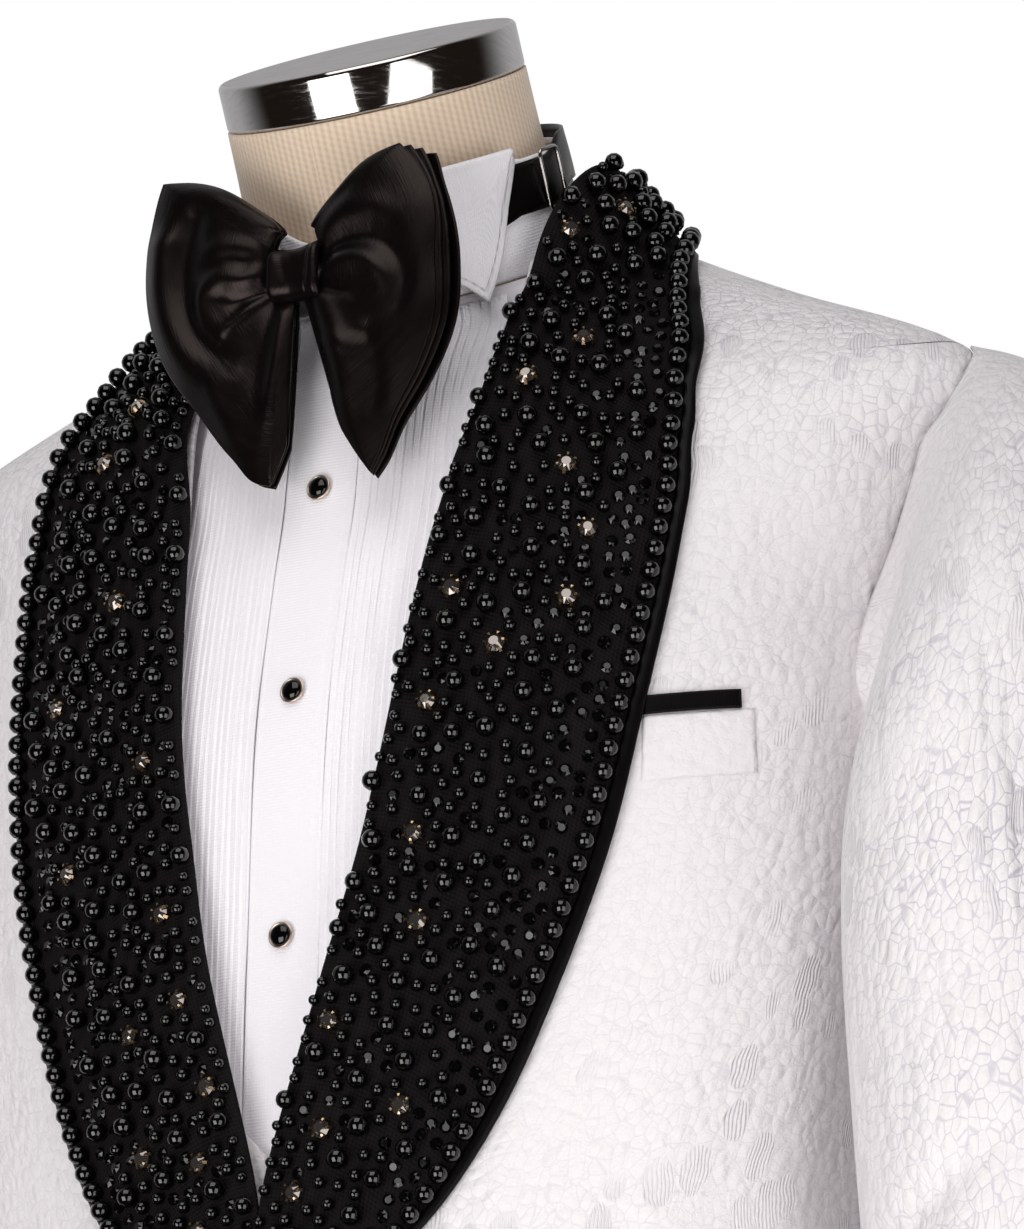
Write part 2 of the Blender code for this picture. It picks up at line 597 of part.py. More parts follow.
def build_shirt_collar():
    """Collar stand, two wings and the collar button."""
    turns = np.linspace(COLLAR_GAP, 2 * math.pi - COLLAR_GAP, COLLAR_COLUMNS)
    along = np.array(COLLAR_ALONG)[:, None]
    grids = []
    for face, foot in ((0.0, SHIRT_INNER), (COLLAR_WALL, SHIRT_INNER + SHIRT_WALL)):
        band = neck_point(along, collar_radius(along, turns[None, :]) + face, turns[None, :])
        seam = body(turns, NECKLINE + 2 * SEAM, foot)
        grids.append(np.concatenate([seam[None], band]))
    wall("shirt_collar_stand", *grids, "shirting")

    turns = np.radians(column(WING, WING_COLUMNS, "turn"))
    low = column(WING, WING_COLUMNS, "low")
    share = np.linspace(0, 1, 4)[:, None]
    along = low[None, :] * (1 - share) + (COLLAR_TOP - 0.0005) * share
    stand_off = COLLAR_WALL + STRAP_WALL + 0.0013 + 0.0070 * np.clip((0.030 - along) / 0.026, 0, 1) ** 1.5
    radius = collar_radius(along, turns[None, :]) + stand_off
    both_sides("shirt_wing", neck_point(along, radius, turns[None, :]),
               neck_point(along, radius + 0.0012, turns[None, :]), "shirting")

    button_seat = neck_point(BUTTON_ALONG, collar_radius(0.0185, 0.0) + COLLAR_WALL + 0.0007, 0.0)
    profile = ((0.0, 0.0022), (0.0042, 0.0018), (0.0052, 0.0006), (0.0052, 0.0), (0.0, 0.0))
    turned("shirt_collar_button", profile, button_seat, (0.0, -0.93, -0.36), "pearl", 12)


# ------------------------------------------------------------------ waistcoat
def build_waistcoat():
    """Two fronts that meet at the centre below the opening, and a back."""
    levels = np.array((WAISTCOAT_FOOT, 1.02, 1.06, 1.105, 1.122, 1.145, 1.18, 1.22, *UNDER_LEVELS))
    edge_x = np.interp(levels, (WAISTCOAT_FOOT, 1.02, 1.105, 1.122, 1.145, 1.18, 1.22, 1.30, 1.38, 1.446),
                       (0.014, 0.0004, 0.0004, 0.0180, 0.046, 0.076, 0.090, 0.099, 0.100, 0.086))
    near = turn_at_x(edge_x, levels, WAISTCOAT_INNER)
    far = front_limit(levels)
    def at_opening(turn, level):
        x = skin(turn, level)[..., 0]
        return WAISTCOAT_EDGE * step((0.090 - x) / 0.030) * step((level - 1.09) / 0.015)

    def closer(turn, level):
        return -WAISTCOAT_EDGE * step((level - 1.13) / 0.1) + 0.0 * turn

    both_sides("waistcoat_front", panel(levels, near, far, 7, layer(WAISTCOAT_INNER, at_opening)),
               panel(levels, near, far, 7, layer(WAISTCOAT_INNER + WALL, at_opening)), "jacquard")
    whole_back("waistcoat_back", (WAISTCOAT_FOOT, 1.035, 1.08, 1.13, 1.19, *UNDER_LEVELS), 5,
               WAISTCOAT_INNER, WALL, "satin", closer)


# ------------------------------------------------------------------ jacket
def front_edge_x(levels, lap):
    """Distance of a jacket front's edge from the centre, positive on its own side: under the roll of the
    collar, then across the centre by the lap where it closes, then cut away to the hem."""
    inner = smooth(column(LAPEL_FRONT, LAPEL_FRONT_COLUMNS, "inner_level"),
                   column(LAPEL_FRONT, LAPEL_FRONT_COLUMNS, "inner_x") + 0.0030, levels)
    below = np.interp(levels, (0.735, 0.80, 0.87, 0.94, 1.00, 1.02, 1.034, 1.050, 1.084),
                      (0.092, 0.060, 0.030, 0.004, -lap, -lap, -lap * 0.6, 0.0009, 0.0036))
    return np.where(levels < 1.084, below, inner)


def lap_lift(turn, level):
    """Extra height near the closing button, where the wearer's left front lies over the right one."""
    x = skin(turn, level)[..., 0]
    return OVERLAP_RISE * step((0.070 - x) / 0.045) * step((1.070 - level) / 0.018)


def build_jacket():
    """Fronts and backs."""
    levels = np.array((HEM, 0.80, 0.87, 0.94, 1.00, 1.034, 1.050, 1.084, 1.12, 1.17, 1.22,
                       *YOKE_LEVELS, NECKLINE))
    def lapped(turn, level):
        return jacket_ease(turn, level) + lap_lift(turn, level)

    for side, lap, ease in (("left", 0.018, lapped), ("right", 0.016, jacket_ease)):
        near = turn_at_x(front_edge_x(levels, lap), levels, JACKET_INNER)
        grids = [panel(levels, near, front_limit(levels), 9, layer(height, ease))
                 for height in (JACKET_INNER, JACKET_INNER + WALL)]
        if side == "right":
            grids = [mirrored(grid) for grid in grids]
        wall("jacket_front_" + side, *grids, "jacquard")
    levels = np.array((HEM, 0.82, 0.91, WAISTCOAT_FOOT, 1.035, 1.08, 1.13, 1.19, *YOKE_LEVELS, NECKLINE))
    middle = np.full(levels.shape, math.pi - SEAM_TURN)
    grids = [panel(levels, back_limit(levels), middle, 7, layer(height, jacket_ease))
             for height in (JACKET_INNER, JACKET_INNER + WALL)]
    both_sides("jacket_back", *grids, "jacquard")


def sleeve_rings(thickness):
    """Rings from the armhole to the cuff: the armhole's own oval first, then the ring table."""
    count = 14
    round_turn = np.arange(count) * 2 * math.pi / count
    up, ahead = np.cos(round_turn), np.sin(round_turn)
    level = ARM_LEVEL + ARM_HALF * 0.985 * up
    turn = armhole_turn(level, np.where(ahead > 0, ARM_FRONT, ARM_BACK), JACKET_INNER)
    low = JACKET_INNER + WALL + jacket_ease(turn, level) + 0.0013
    rows = [body(turn, level, low + thickness)]
    for over_x, over_z, under_x, under_z, half_depth, mid_y in SLEEVE:
        mid = np.array([(over_x + under_x) / 2, mid_y, (over_z + under_z) / 2])
        reach = np.array([(over_x - under_x) / 2, 0.0, (over_z - under_z) / 2])
        reach *= 1 + thickness / np.linalg.norm(reach)
        forward = np.array([0.0, -half_depth - thickness, 0.0])
        rows.append(mid + up[:, None] * reach + ahead[:, None] * forward)
    return np.array(rows)


def build_sleeves():
    """Each sleeve is a tube of cloth from the armhole to an open cuff."""
    both_sides("jacket_sleeve", sleeve_rings(0.0), sleeve_rings(WALL), "jacquard", ring=True)


def strip_on_jacket(name, box, wall_thickness, columns, material):
    """A flat strip that lies on the wearer's left jacket front, given by its (x, level) box."""
    (x_low, x_high), (level_low, level_high) = box
    x = np.linspace(x_low, x_high, columns)[None, :]
    levels = np.array((level_low, level_high))[:, None] + POCKET_SLANT * (x - x_low)
    turns = turn_at_x(x, levels, JACKET_INNER + WALL)
    low = JACKET_INNER + WALL + SEAM + jacket_ease(turns, levels)
    wall(name, body(turns, levels, low), body(turns, levels, low + wall_thickness), material)


def button_on_jacket(name, x, level, height, radius):
    """A sewn button on the wearer's left front."""
    turn = turn_at_x(np.array(x), np.array(level), height)
    profile = ((0.0, 0.0024), (radius * 0.6, 0.0026), (radius, 0.0016), (radius, 0.0), (0.0, 0.0))
    turned(name, profile, body(turn, level, height), outward(turn, np.array(level)), "satin", 14)


# ------------------------------------------------------------------ shawl collar and its beads
def lapel_lines(steps):
    """Fold line and outer edge at even steps along the outer edge, as turns, levels and stand."""
    level_in, x_in, level_out, x_out = np.array(LAPEL_FRONT, float).T
    inner = turn_at_x(x_in, level_in, JACKET_INNER)
    outer = turn_at_x(x_out, level_out, JACKET_INNER)
    front = np.stack([inner, level_in, np.zeros(level_in.shape), outer, level_out], 1)
    neck = np.array(LAPEL_NECK, float)
    neck[:, 0] = np.radians(neck[:, 0])
    neck[:, 3] = np.radians(neck[:, 3])
    rows = np.vstack([front, neck])
    edge = body(rows[:, 3], rows[:, 4], JACKET_INNER)
    along = np.r_[0, np.cumsum(np.linalg.norm(np.diff(edge, axis=0), axis=1))]
    at = np.linspace(0, along[-1], steps)
    return [smooth(along, rows[:, k], at) for k in range(5)], along[-1]


def lapel_surface(steps, shares, rise):
    """Points of the collar at shares of the way from fold line to outer edge, rise above its cloth."""
    (turn_in, level_in, stand, turn_out, level_out), _ = lapel_lines(steps)
    w = np.asarray(shares, float)[None, :]
    turn = turn_in[:, None] * (1 - w) + turn_out[:, None] * w
    level = level_in[:, None] * (1 - w) + level_out[:, None] * w
    roll = LAPEL_LOW + (LAPEL_ROLL - LAPEL_LOW) * (1 - w**3)
    seat = JACKET_INNER + WALL + jacket_ease(turn, level) + lap_lift(turn, level)
    points = body(turn, level, seat + roll + rise)
    points[..., 2] += stand[:, None] * (1 - w) ** 1.8
    return points


def scattered_cells(rows, columns):
    """Cells of the collar that carry a raised bead, spread so that no two touch."""
    chooser = np.random.default_rng(SCATTER_SEED)
    chosen = {}
    for _ in range(SCATTER_TRIES):
        cell = (int(chooser.integers(2, rows)), int(chooser.integers(0, columns)))
        apart = all(abs(cell[0] - r) + abs(cell[1] - c) > 1 for r, c in chosen)
        if apart and len(chosen) < SCATTER_BEADS:
            chosen[cell] = (0.48, 0.30, BEAD_RISE)
    return chosen


def build_collar():
    """The two halves of the shawl collar, each with its row of large beads raised on a strip."""
    _, length = lapel_lines(4)
    beads = 2 * int(round(length / BEAD_PITCH / 2))
    steps = beads // 2 + 1
    half_row = BEAD_WIDTH / 2 / 0.085
    row_shares = (BEAD_ROW_AT - half_row, BEAD_ROW_AT + half_row)
    shares = (0.0, 0.17, 0.34, 0.51, 0.68, *row_shares, 1.0)
    both_sides("lapel", lapel_surface(steps, (0.0, 0.34, 0.68, 1.0), 0.0), lapel_surface(steps, shares, WALL),
               "lapel_cloth", beads=scattered_cells(steps - 2, 4))
    inner = lapel_surface(steps, row_shares, WALL + SEAM)
    outer = lapel_surface(beads + 1, row_shares, WALL + SEAM + BEAD_STRIP_WALL)
    studs = {(r, 0): (1.0, 0.62, BEAD_RISE - BEAD_STRIP_WALL) for r in range(beads)}
    both_sides("lapel_bead_row", inner, outer, "beads", beads=studs)
    print("collar edge", round(length, 4), "m,", beads, "beads a side")


# ------------------------------------------------------------------ bow tie
def leaf(loop, side, puff, forward):
    """A leaf of a bow loop: a fan of rays from the knot to the outline, swelling between its edges; side
    is +1 on the wearer's left, forward -1 for the front leaf and +1 for the hind one."""
    angle = np.radians(column(loop, LOOP_COLUMNS, "angle"))[:, None]
    near = column(loop, LOOP_COLUMNS, "near")[:, None]
    far = column(loop, LOOP_COLUMNS, "far")[:, None]
    share = np.linspace(0, 1, 5)[None, :]
    reach = near + (far - near) * share
    width = np.sin(np.linspace(0, math.pi, len(loop)))[:, None] ** 0.6
    fold = 1 + 0.28 * np.cos(np.linspace(0, 5 * math.pi, len(loop)))[:, None]
    swell = puff * np.sin(math.pi * share) * width * fold
    x = KNOT[0] + side * reach * np.cos(angle)
    z = KNOT[2] + reach * np.sin(angle)
    inner = np.stack([x, BOW_Y + forward * (0.0002 + swell), z], -1)
    outer = inner + np.array([0.0, forward * LOOP_WALL, 0.0])
    return inner, outer


def build_bow_tie():
    """Two loops of two leaves, the knot, the neck strap and its wire slider."""
    for name, loop, side in (("left", LOOP_LEFT, 1), ("right", LOOP_RIGHT, -1)):
        wall("bow_leaf_front_" + name, *leaf(loop, side, LOOP_PUFF_FRONT, -1), "satin")
        wall("bow_leaf_hind_" + name, *leaf(loop, side, LOOP_PUFF_BACK, 1), "satin")
    bpy.ops.mesh.primitive_cube_add(size=1.0)
    cube = bpy.context.object
    mesh = cube.data
    bpy.data.objects.remove(cube)
    mesh.transform(Matrix.Diagonal((*KNOT_SIZE, 1.0)))
    knot = add_object("bow_knot", mesh, "satin")
    knot.location = KNOT
    bevel = knot.modifiers.new("rounded", "BEVEL")
    bevel.width = 0.0045
    bevel.segments = 2
    bevel.limit_method = "NONE"

    turns = np.linspace(COLLAR_GAP, 2 * math.pi - COLLAR_GAP, COLLAR_COLUMNS)[1:-1]
    side = np.clip((1 - np.cos(turns)) / (1 - math.cos(math.radians(66))), 0, 1)
    middle = STRAP_FRONT + (STRAP_BACK - STRAP_FRONT) * side
    along = middle[None, :] + np.array((-STRAP_HALF, STRAP_HALF))[:, None]
    radius = collar_radius(along, turns[None, :]) + COLLAR_WALL + SEAM
    wall("bow_strap", neck_point(along, radius, turns[None, :]),
         neck_point(along, radius + STRAP_WALL, turns[None, :]), "satin")

    outer = collar_radius(STRAP_BACK, SLIDER_TURN) + COLLAR_WALL + STRAP_WALL + 4 * SEAM + SLIDER_WIRE
    half_turn = SLIDER_HALF[0] / outer
    corners = [(-1, -1), (1, -1), (1, 1), (-1, 1)]
    curve = bpy.data.curves.new("bow_slider", "CURVE")
    curve.dimensions = "3D"
    curve.bevel_depth = SLIDER_WIRE
    curve.bevel_resolution = 1
    line = curve.splines.new("POLY")
    line.points.add(len(corners) - 1)
    for point, (u, v) in zip(line.points, corners):
        place = neck_point(STRAP_BACK + v * SLIDER_HALF[1], outer, SLIDER_TURN + u * half_turn)
        point.co = (*place, 1.0)
    line.use_cyclic_u = True
    curve.materials.append(finish("wire"))
    slider = bpy.data.objects.new("bow_slider", curve)
    bpy.data.collections[COLLECTION].objects.link(slider)


# ------------------------------------------------------------------ trousers
def leg_arc(z, degrees, thickness):
    """Points of a leg section at a height, by angle from the front."""
    values = [smooth(-column(LEG, LEG_COLUMNS, "z"), column(LEG, LEG_COLUMNS, name), -z)
              for name in ("mid_x", "mid_y", "half_x", "half_y")]
    mid_x, mid_y, half_x, half_y = values
    angle = np.radians(degrees)
    x = mid_x + (half_x + thickness) * np.sin(angle)
    y = mid_y - (half_y + thickness) * np.cos(angle)
    return np.stack([x, y, np.full(x.shape, float(z))], -1)


def trouser_panel(turn_near, turn_far, leg_near, leg_far, thickness, columns):
    """Front or back of a leg: torso rows, fork rows that blend into the leg, then leg rows."""
    turns = np.linspace(turn_near, turn_far, columns)
    degrees = np.linspace(leg_near, leg_far, columns)
    out = TROUSER_INNER + thickness
    rows = [body(np.radians(turns), level, out) for level in SEAT_LEVELS]
    seat = body(np.radians(turns), SEAT_LEVELS[-1], out)
    thigh = leg_arc(LEG[0][0], degrees, thickness)
    for z, share in FORK_ROWS:
        row = seat * (1 - share) + thigh * share
        row[:, 2] = z
        rows.append(row)
    rows.extend(leg_arc(row[0], degrees, thickness) for row in LEG)
    grid = np.array(rows)
    seam = np.full(len(rows), SEAM)
    first_leg = len(SEAT_LEVELS) + len(FORK_ROWS)
    seam[len(SEAT_LEVELS) - 1:first_leg] = FORK_X - thickness
    grid[..., 0] = np.maximum(grid[..., 0], seam[:, None])
    return grid


def build_trousers():
    """Front and back of each leg, the waistband, and a satin stripe down each side seam."""
    columns = 6
    gap = 0.15
    for name, spans in (("trouser_front", (0.0, 90.0 - gap, -90.0 + gap, 90.0 - gap)),
                        ("trouser_back", (90.0 + gap, 180.0, 90.0 + gap, 270.0 - gap))):
        both_sides(name, trouser_panel(*spans, 0.0, columns), trouser_panel(*spans, TROUSER_WALL, columns),
                   "black_wool")
    turns = np.linspace(0.002, 2 * math.pi - 0.002, 25)
    levels = np.array((SEAT_LEVELS[0] + SEAM, WAIST_TOP))[:, None]
    wall("trouser_waistband", body(turns[None, :], levels, TROUSER_INNER),
         body(turns[None, :], levels, TROUSER_INNER + TROUSER_WALL), "satin")


def main():
    """Build every piece."""
    for old in list(bpy.data.objects):
        bpy.data.objects.remove(old)
    group = bpy.data.collections.new(COLLECTION)
    bpy.context.scene.collection.children.link(group)
    build_form()
    build_shirt()
    build_shirt_collar()
    build_waistcoat()
    build_jacket()
    build_sleeves()
    strip_on_jacket("breast_welt", WELT, WALL, 5, "jacquard")
    strip_on_jacket("breast_trim", TRIM, WALL, 4, "satin")
    button_on_jacket("jacket_button", 0.0, 1.018, JACKET_INNER + OVERLAP_RISE + WALL + SEAM, 0.0092)
    build_collar()
    build_bow_tie()
    build_trousers()


main()
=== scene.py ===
# %% [markdown]
# # A white dinner suit with a beaded shawl collar, on a dress form
# The CAD model gives every cut piece its place and size. This notebook makes the looks: finer shells
# of cloth on the same surface, their folds, the beads, and the finishes. The frame is loaded first and
# its box is kept, to be printed beside the dressed model's box at the end. The frame is loaded first
# and its box is kept, because the dressed model has to stay the size of the CAD model.

import math

import bpy
import numpy as np
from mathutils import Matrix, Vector


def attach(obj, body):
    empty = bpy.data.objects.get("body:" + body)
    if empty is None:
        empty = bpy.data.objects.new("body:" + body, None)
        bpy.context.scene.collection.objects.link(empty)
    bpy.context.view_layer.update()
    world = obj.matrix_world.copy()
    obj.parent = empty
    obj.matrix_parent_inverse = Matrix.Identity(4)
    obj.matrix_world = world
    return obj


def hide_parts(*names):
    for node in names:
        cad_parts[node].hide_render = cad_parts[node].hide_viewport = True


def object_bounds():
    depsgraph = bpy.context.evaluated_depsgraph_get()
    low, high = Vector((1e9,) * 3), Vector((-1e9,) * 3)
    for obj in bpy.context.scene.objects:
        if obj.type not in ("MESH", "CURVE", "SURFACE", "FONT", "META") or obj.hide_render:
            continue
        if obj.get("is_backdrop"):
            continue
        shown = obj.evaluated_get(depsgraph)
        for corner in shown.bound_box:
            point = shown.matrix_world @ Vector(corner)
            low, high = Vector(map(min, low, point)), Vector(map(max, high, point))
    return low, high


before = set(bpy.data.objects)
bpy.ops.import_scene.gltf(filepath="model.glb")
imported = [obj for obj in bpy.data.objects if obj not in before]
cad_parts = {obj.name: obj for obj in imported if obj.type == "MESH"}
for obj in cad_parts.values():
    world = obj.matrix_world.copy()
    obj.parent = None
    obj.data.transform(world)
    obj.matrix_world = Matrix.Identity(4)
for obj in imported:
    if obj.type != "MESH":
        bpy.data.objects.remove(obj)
CAD_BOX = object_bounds()
print("frame:", len(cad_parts), "CAD nodes, box", [round(v, 3) for corner in CAD_BOX for v in corner])

# %% [markdown]
# ## The torso surface
# Every layer of the suit is one smooth torso moved outwards. The torso could be sculpted, but a table of
# girths read by a curve is exact and can be moved out by any distance. A place on it is a turn (0 at the
# centre front, 90 degrees at the wearer's left) and a level (a height at the side).

# %% Girth table and the curve that reads it
# level, front_z, back_z, half_width, front, back, mid_y, power
GIRTHS = np.array((
    (0.700, 0.700, 0.700, 0.1635, 0.1165, 0.117, 0.000, 2.08),
    (0.790, 0.790, 0.790, 0.1685, 0.1185, 0.120, 0.000, 2.08),
    (0.900, 0.900, 0.900, 0.1725, 0.1205, 0.120, 0.000, 2.08),
    (0.990, 0.990, 0.990, 0.1645, 0.1195, 0.105, 0.000, 2.08),
    (1.080, 1.080, 1.080, 0.1565, 0.1185, 0.093, 0.000, 2.08),
    (1.180, 1.180, 1.180, 0.1655, 0.1150, 0.107, 0.000, 2.05),
    (1.270, 1.270, 1.270, 0.1725, 0.1095, 0.117, 0.000, 1.98),
    (1.330, 1.325, 1.335, 0.1825, 0.0985, 0.117, 0.000, 1.82),
    (1.375, 1.358, 1.380, 0.2010, 0.0905, 0.107, 0.000, 1.55),
    (1.402, 1.386, 1.412, 0.2130, 0.0870, 0.093, 0.000, 1.30),
    (1.430, 1.408, 1.440, 0.1455, 0.0830, 0.079, -0.003, 1.25),
    (1.450, 1.424, 1.468, 0.0985, 0.0720, 0.061, -0.010, 1.40),
))
NECK = np.array(((0.012, 0.0640), (0.030, 0.0600), (0.055, 0.0585), (0.0815, 0.0580)))  # along, radius
NECK_LEAN, NECK_FOOT_Y, NECK_FOOT_Z = math.radians(27), -0.0187, 1.4544
LEAN_C, LEAN_S = math.cos(NECK_LEAN), math.sin(NECK_LEAN)


def smooth(xs, ys, at):
    """Cubic curve through (xs, ys) read at the values at: Hermite pieces whose slopes are the gradients."""
    xs, ys = np.asarray(xs, float), np.asarray(ys, float)
    at = np.clip(at, xs[0], xs[-1])
    slope = np.gradient(ys, xs)
    k = np.clip(np.searchsorted(xs, at) - 1, 0, len(xs) - 2)
    gap = xs[k + 1] - xs[k]
    t = (at - xs[k]) / gap
    start = (2 * t**3 - 3 * t**2 + 1) * ys[k] + (t**3 - 2 * t**2 + t) * gap * slope[k]
    return start + (3 * t**2 - 2 * t**3) * ys[k + 1] + (t**3 - t**2) * gap * slope[k + 1]


def unit(vectors):
    """The vectors at length one."""
    return vectors / np.linalg.norm(vectors, axis=-1, keepdims=True)


def full_turn(count):
    """Angles once round, evenly."""
    return np.linspace(0, 2 * math.pi, count, endpoint=False)


neck_rings = np.stack([NECK_FOOT_Z + NECK[:, 0] * LEAN_C,
                       NECK_FOOT_Z + NECK[:, 0] * LEAN_C - NECK[:, 1] * LEAN_S,
                       NECK_FOOT_Z + NECK[:, 0] * LEAN_C + NECK[:, 1] * LEAN_S,
                       NECK[:, 1], NECK[:, 1] * LEAN_C, NECK[:, 1] * LEAN_C,
                       NECK_FOOT_Y - NECK[:, 0] * LEAN_S, np.full(4, 2.0)], 1)
TORSO = np.vstack([GIRTHS, neck_rings])
LEVELS = TORSO[:, 0]
COLUMN = {name: k for k, name in enumerate(
    ("level", "front_z", "back_z", "half_width", "front", "back", "mid_y", "power"))}


def girth(name, level):
    """A column of the girth table at any level."""
    return smooth(LEVELS, TORSO[:, COLUMN[name]], level)


# %% Points on the torso and away from it
def skin(turn, level):
    """Bare torso: each girth line is a superellipse |x/w|^p + |y/d|^p = 1 with softened corners, and it
    dips or rises in front and behind by its own heights there."""
    turn, level = np.broadcast_arrays(np.asarray(turn, float), np.asarray(level, float))
    c, s = np.cos(turn), np.sin(turn)
    power = girth("power", level)
    power = np.where(c > 0, power, (power + 4) / 3)
    soft_c, soft_s = ((np.sqrt(v * v + 0.01) - 0.1) / (math.hypot(1, 0.1) - 0.1) for v in (c, s))
    swell = np.hypot(soft_c, soft_s) / (soft_c**power + soft_s**power) ** (1 / power)
    depth = np.where(c > 0, girth("front", level), girth("back", level))
    front_z, back_z = girth("front_z", level), girth("back_z", level)
    tilt, dip = (front_z - back_z) / 2, (front_z + back_z) / 2 - level
    return np.stack([girth("half_width", level) * s * swell, girth("mid_y", level) - depth * c * swell,
                     level + tilt * c + dip * c * c], -1)


def outward(turn, level):
    """Unit normal of the torso: the cross product of its two slopes."""
    d = 0.004
    across = skin(turn + d, level) - skin(turn - d, level)
    up = skin(turn, np.minimum(level + d, LEVELS[-1])) - skin(turn, np.maximum(level - d, LEVELS[0]))
    return unit(np.cross(across, up))


def body(turn, level, out):
    """Torso point moved out along its normal."""
    turn, level, out = np.broadcast_arrays(*(np.asarray(v, float) for v in (turn, level, out)))
    return skin(turn, level) + outward(turn, level) * out[..., None]


def turn_at(axis, wanted, level, out, low, high):
    """Turn where the surface has a wanted x (axis 0) or y (axis 1): the range is halved 30 times."""
    level, wanted = np.broadcast_arrays(np.asarray(level, float), np.asarray(wanted, float))
    low, high = np.full(level.shape, low), np.full(level.shape, high)
    for _ in range(30):
        middle = (low + high) / 2
        short = body(middle, level, out)[..., axis] < wanted
        low, high = np.where(short, middle, low), np.where(short, high, middle)
    return (low + high) / 2


def turn_at_x(x, level, out):
    """Turn on the front at a distance x from the centre line."""
    return np.sign(x) * turn_at(0, np.abs(x), level, out, 0.0, math.pi / 2)


def step(value):
    """Soft step 3t^2 - 2t^3 from 0 to 1."""
    value = np.clip(value, 0, 1)
    return value**2 * (3 - 2 * value)


print("torso: widest", round(float(skin(math.pi / 2, 1.402)[0]) * 2000), "mm")

# %% [markdown]
# ## Cutting lines and layers
# The heights of the layers above the torso and the lines where the pieces end are the CAD model's own.

# %% Layers, armhole and seams
SEAM, SEAM_TURN, WALL = 0.0003, 0.0012, 0.0018  # room at a seam, the same as a turn, a cloth's thickness
SHIRT_INNER, SHIRT_WALL, BIB_SEAT = 0.0022, 0.0014, 0.0014  # INNER is a layer's height above the torso
WAISTCOAT_INNER, WAISTCOAT_EDGE, JACKET_INNER = 0.0078, 0.0016, 0.0117
SIDE_SEAM, NECKLINE, HEM = math.radians(98), 1.4600, 0.735  # a turn and two levels
# the armhole's oval: the level of its middle, half its height, and y where it reaches forward and back
ARM_LEVEL, ARM_HALF, ARM_FRONT, ARM_BACK = 1.328, 0.0765, -0.024, 0.050
ARM_FOOT, ARM_TOP = ARM_LEVEL - ARM_HALF, ARM_LEVEL + ARM_HALF
OVAL = ARM_LEVEL - ARM_HALF * np.cos(np.linspace(0, math.pi, 34))  # close rows at both ends of the armhole


def rows_between(foot, top, count):
    """Levels of a piece from foot to top: even below and above the armhole, closer along it."""
    below = np.linspace(foot, ARM_FOOT, count)[:-1]
    above = np.linspace(ARM_TOP, top, 14)[1:]
    return np.r_[below, OVAL, above]


def armhole_turn(level, edge):
    """Turn of the armhole's oval at a level; edge is how far forward or back it reaches."""
    rise = np.clip((level - ARM_LEVEL) / ARM_HALF, -1, 1)
    middle = (ARM_FRONT + ARM_BACK) / 2
    oval = middle + (edge - middle) * np.sqrt(1 - rise**2)
    return turn_at(1, oval, level, JACKET_INNER, math.radians(20), math.radians(165))


def side_limit(levels, edge, gap):
    """Where a piece ends at the side: shoulder seam, the armhole's oval, then the side seam."""
    levels = np.asarray(levels, float)
    armhole = armhole_turn(levels, edge)
    inside = np.abs(levels - ARM_LEVEL) < ARM_HALF - 1e-9
    return np.where(inside, armhole, np.where(levels < ARM_LEVEL, SIDE_SEAM, math.pi / 2)) + gap


def jacket_ease(turn, level):
    """Extra room of the jacket: at the sides, less near its fold line."""
    side = smooth((0.70, 0.90, 1.00, 1.08, 1.18, 1.27, 1.34, 1.53),
                  (0.012, 0.007, 0.007, 0.008, 0.007, 0.004, 0.0, 0.0), level)
    x = np.abs(skin(turn, level)[..., 0])
    dip = 0.0034 * step((0.085 - x) / 0.030) * step((level - 1.17) / 0.06) * (np.cos(turn) > 0)
    return side * np.sin(turn) ** 2 - dip * step((1.458 - level) / 0.012)


def lap_lift(turn, level):
    """Extra height of the wearer's left front where it closes over the right one."""
    x = skin(turn, level)[..., 0]
    return 0.0030 * step((0.070 - x) / 0.045) * step((1.070 - level) / 0.018)


# %% [markdown]
# ## Sheets of cloth
# Each cut piece is a grid of points, worked out at once, that becomes a mesh with a UV map in metres, so
# that weave and pleats keep their real size. Solidify gives it the cloth's thickness. The grid's own arc
# lengths say how large the flat piece was cut.

# %% From a grid to a piece of cloth
LEAST_CUT = 0.0101  # a sheet is stated no narrower than this


def put_mesh(name, points, faces, uv=None, smooth_shading=True):
    """A mesh object from point and face arrays, linked to the scene; uv has one pair per face corner."""
    mesh = bpy.data.meshes.new(name)
    mesh.from_pydata(np.asarray(points, float).tolist(), [], [list(map(int, f)) for f in faces])
    if uv is not None:
        layer = mesh.uv_layers.new(name="UVMap")
        layer.data.foreach_set("uv", np.asarray(uv, np.float32).ravel())
    mesh.polygons.foreach_set("use_smooth", np.full(len(mesh.polygons), smooth_shading))
    mesh.update()
    made = bpy.data.objects.new(name, mesh)
    bpy.context.scene.collection.objects.link(made)
    return made


def arcs(points, axis):
    """Running lengths of a grid's lines along an axis."""
    steps = np.linalg.norm(np.diff(points, axis=axis), axis=-1)
    start = np.zeros_like(np.take(steps, [0], axis))
    return np.concatenate([start, np.cumsum(steps, axis)], axis)


def fair_uv(points, from_last=False):
    """UV in metres for a piece whose rows shift sideways: round it along each row, counted from the first
    or the last column, and up by the free distance between two rows, |d - (d.t)t|."""
    along = unit(np.gradient(points, axis=1))
    rise = np.diff(points, axis=0)
    rise = rise - np.sum(rise * along[:-1], -1, keepdims=True) * along[:-1]
    up = np.concatenate([np.zeros((1, points.shape[1])), np.cumsum(np.linalg.norm(rise, axis=-1), 0)])
    around = arcs(points, 1)
    return np.stack([around - around[:, -1:] if from_last else around, up], -1)


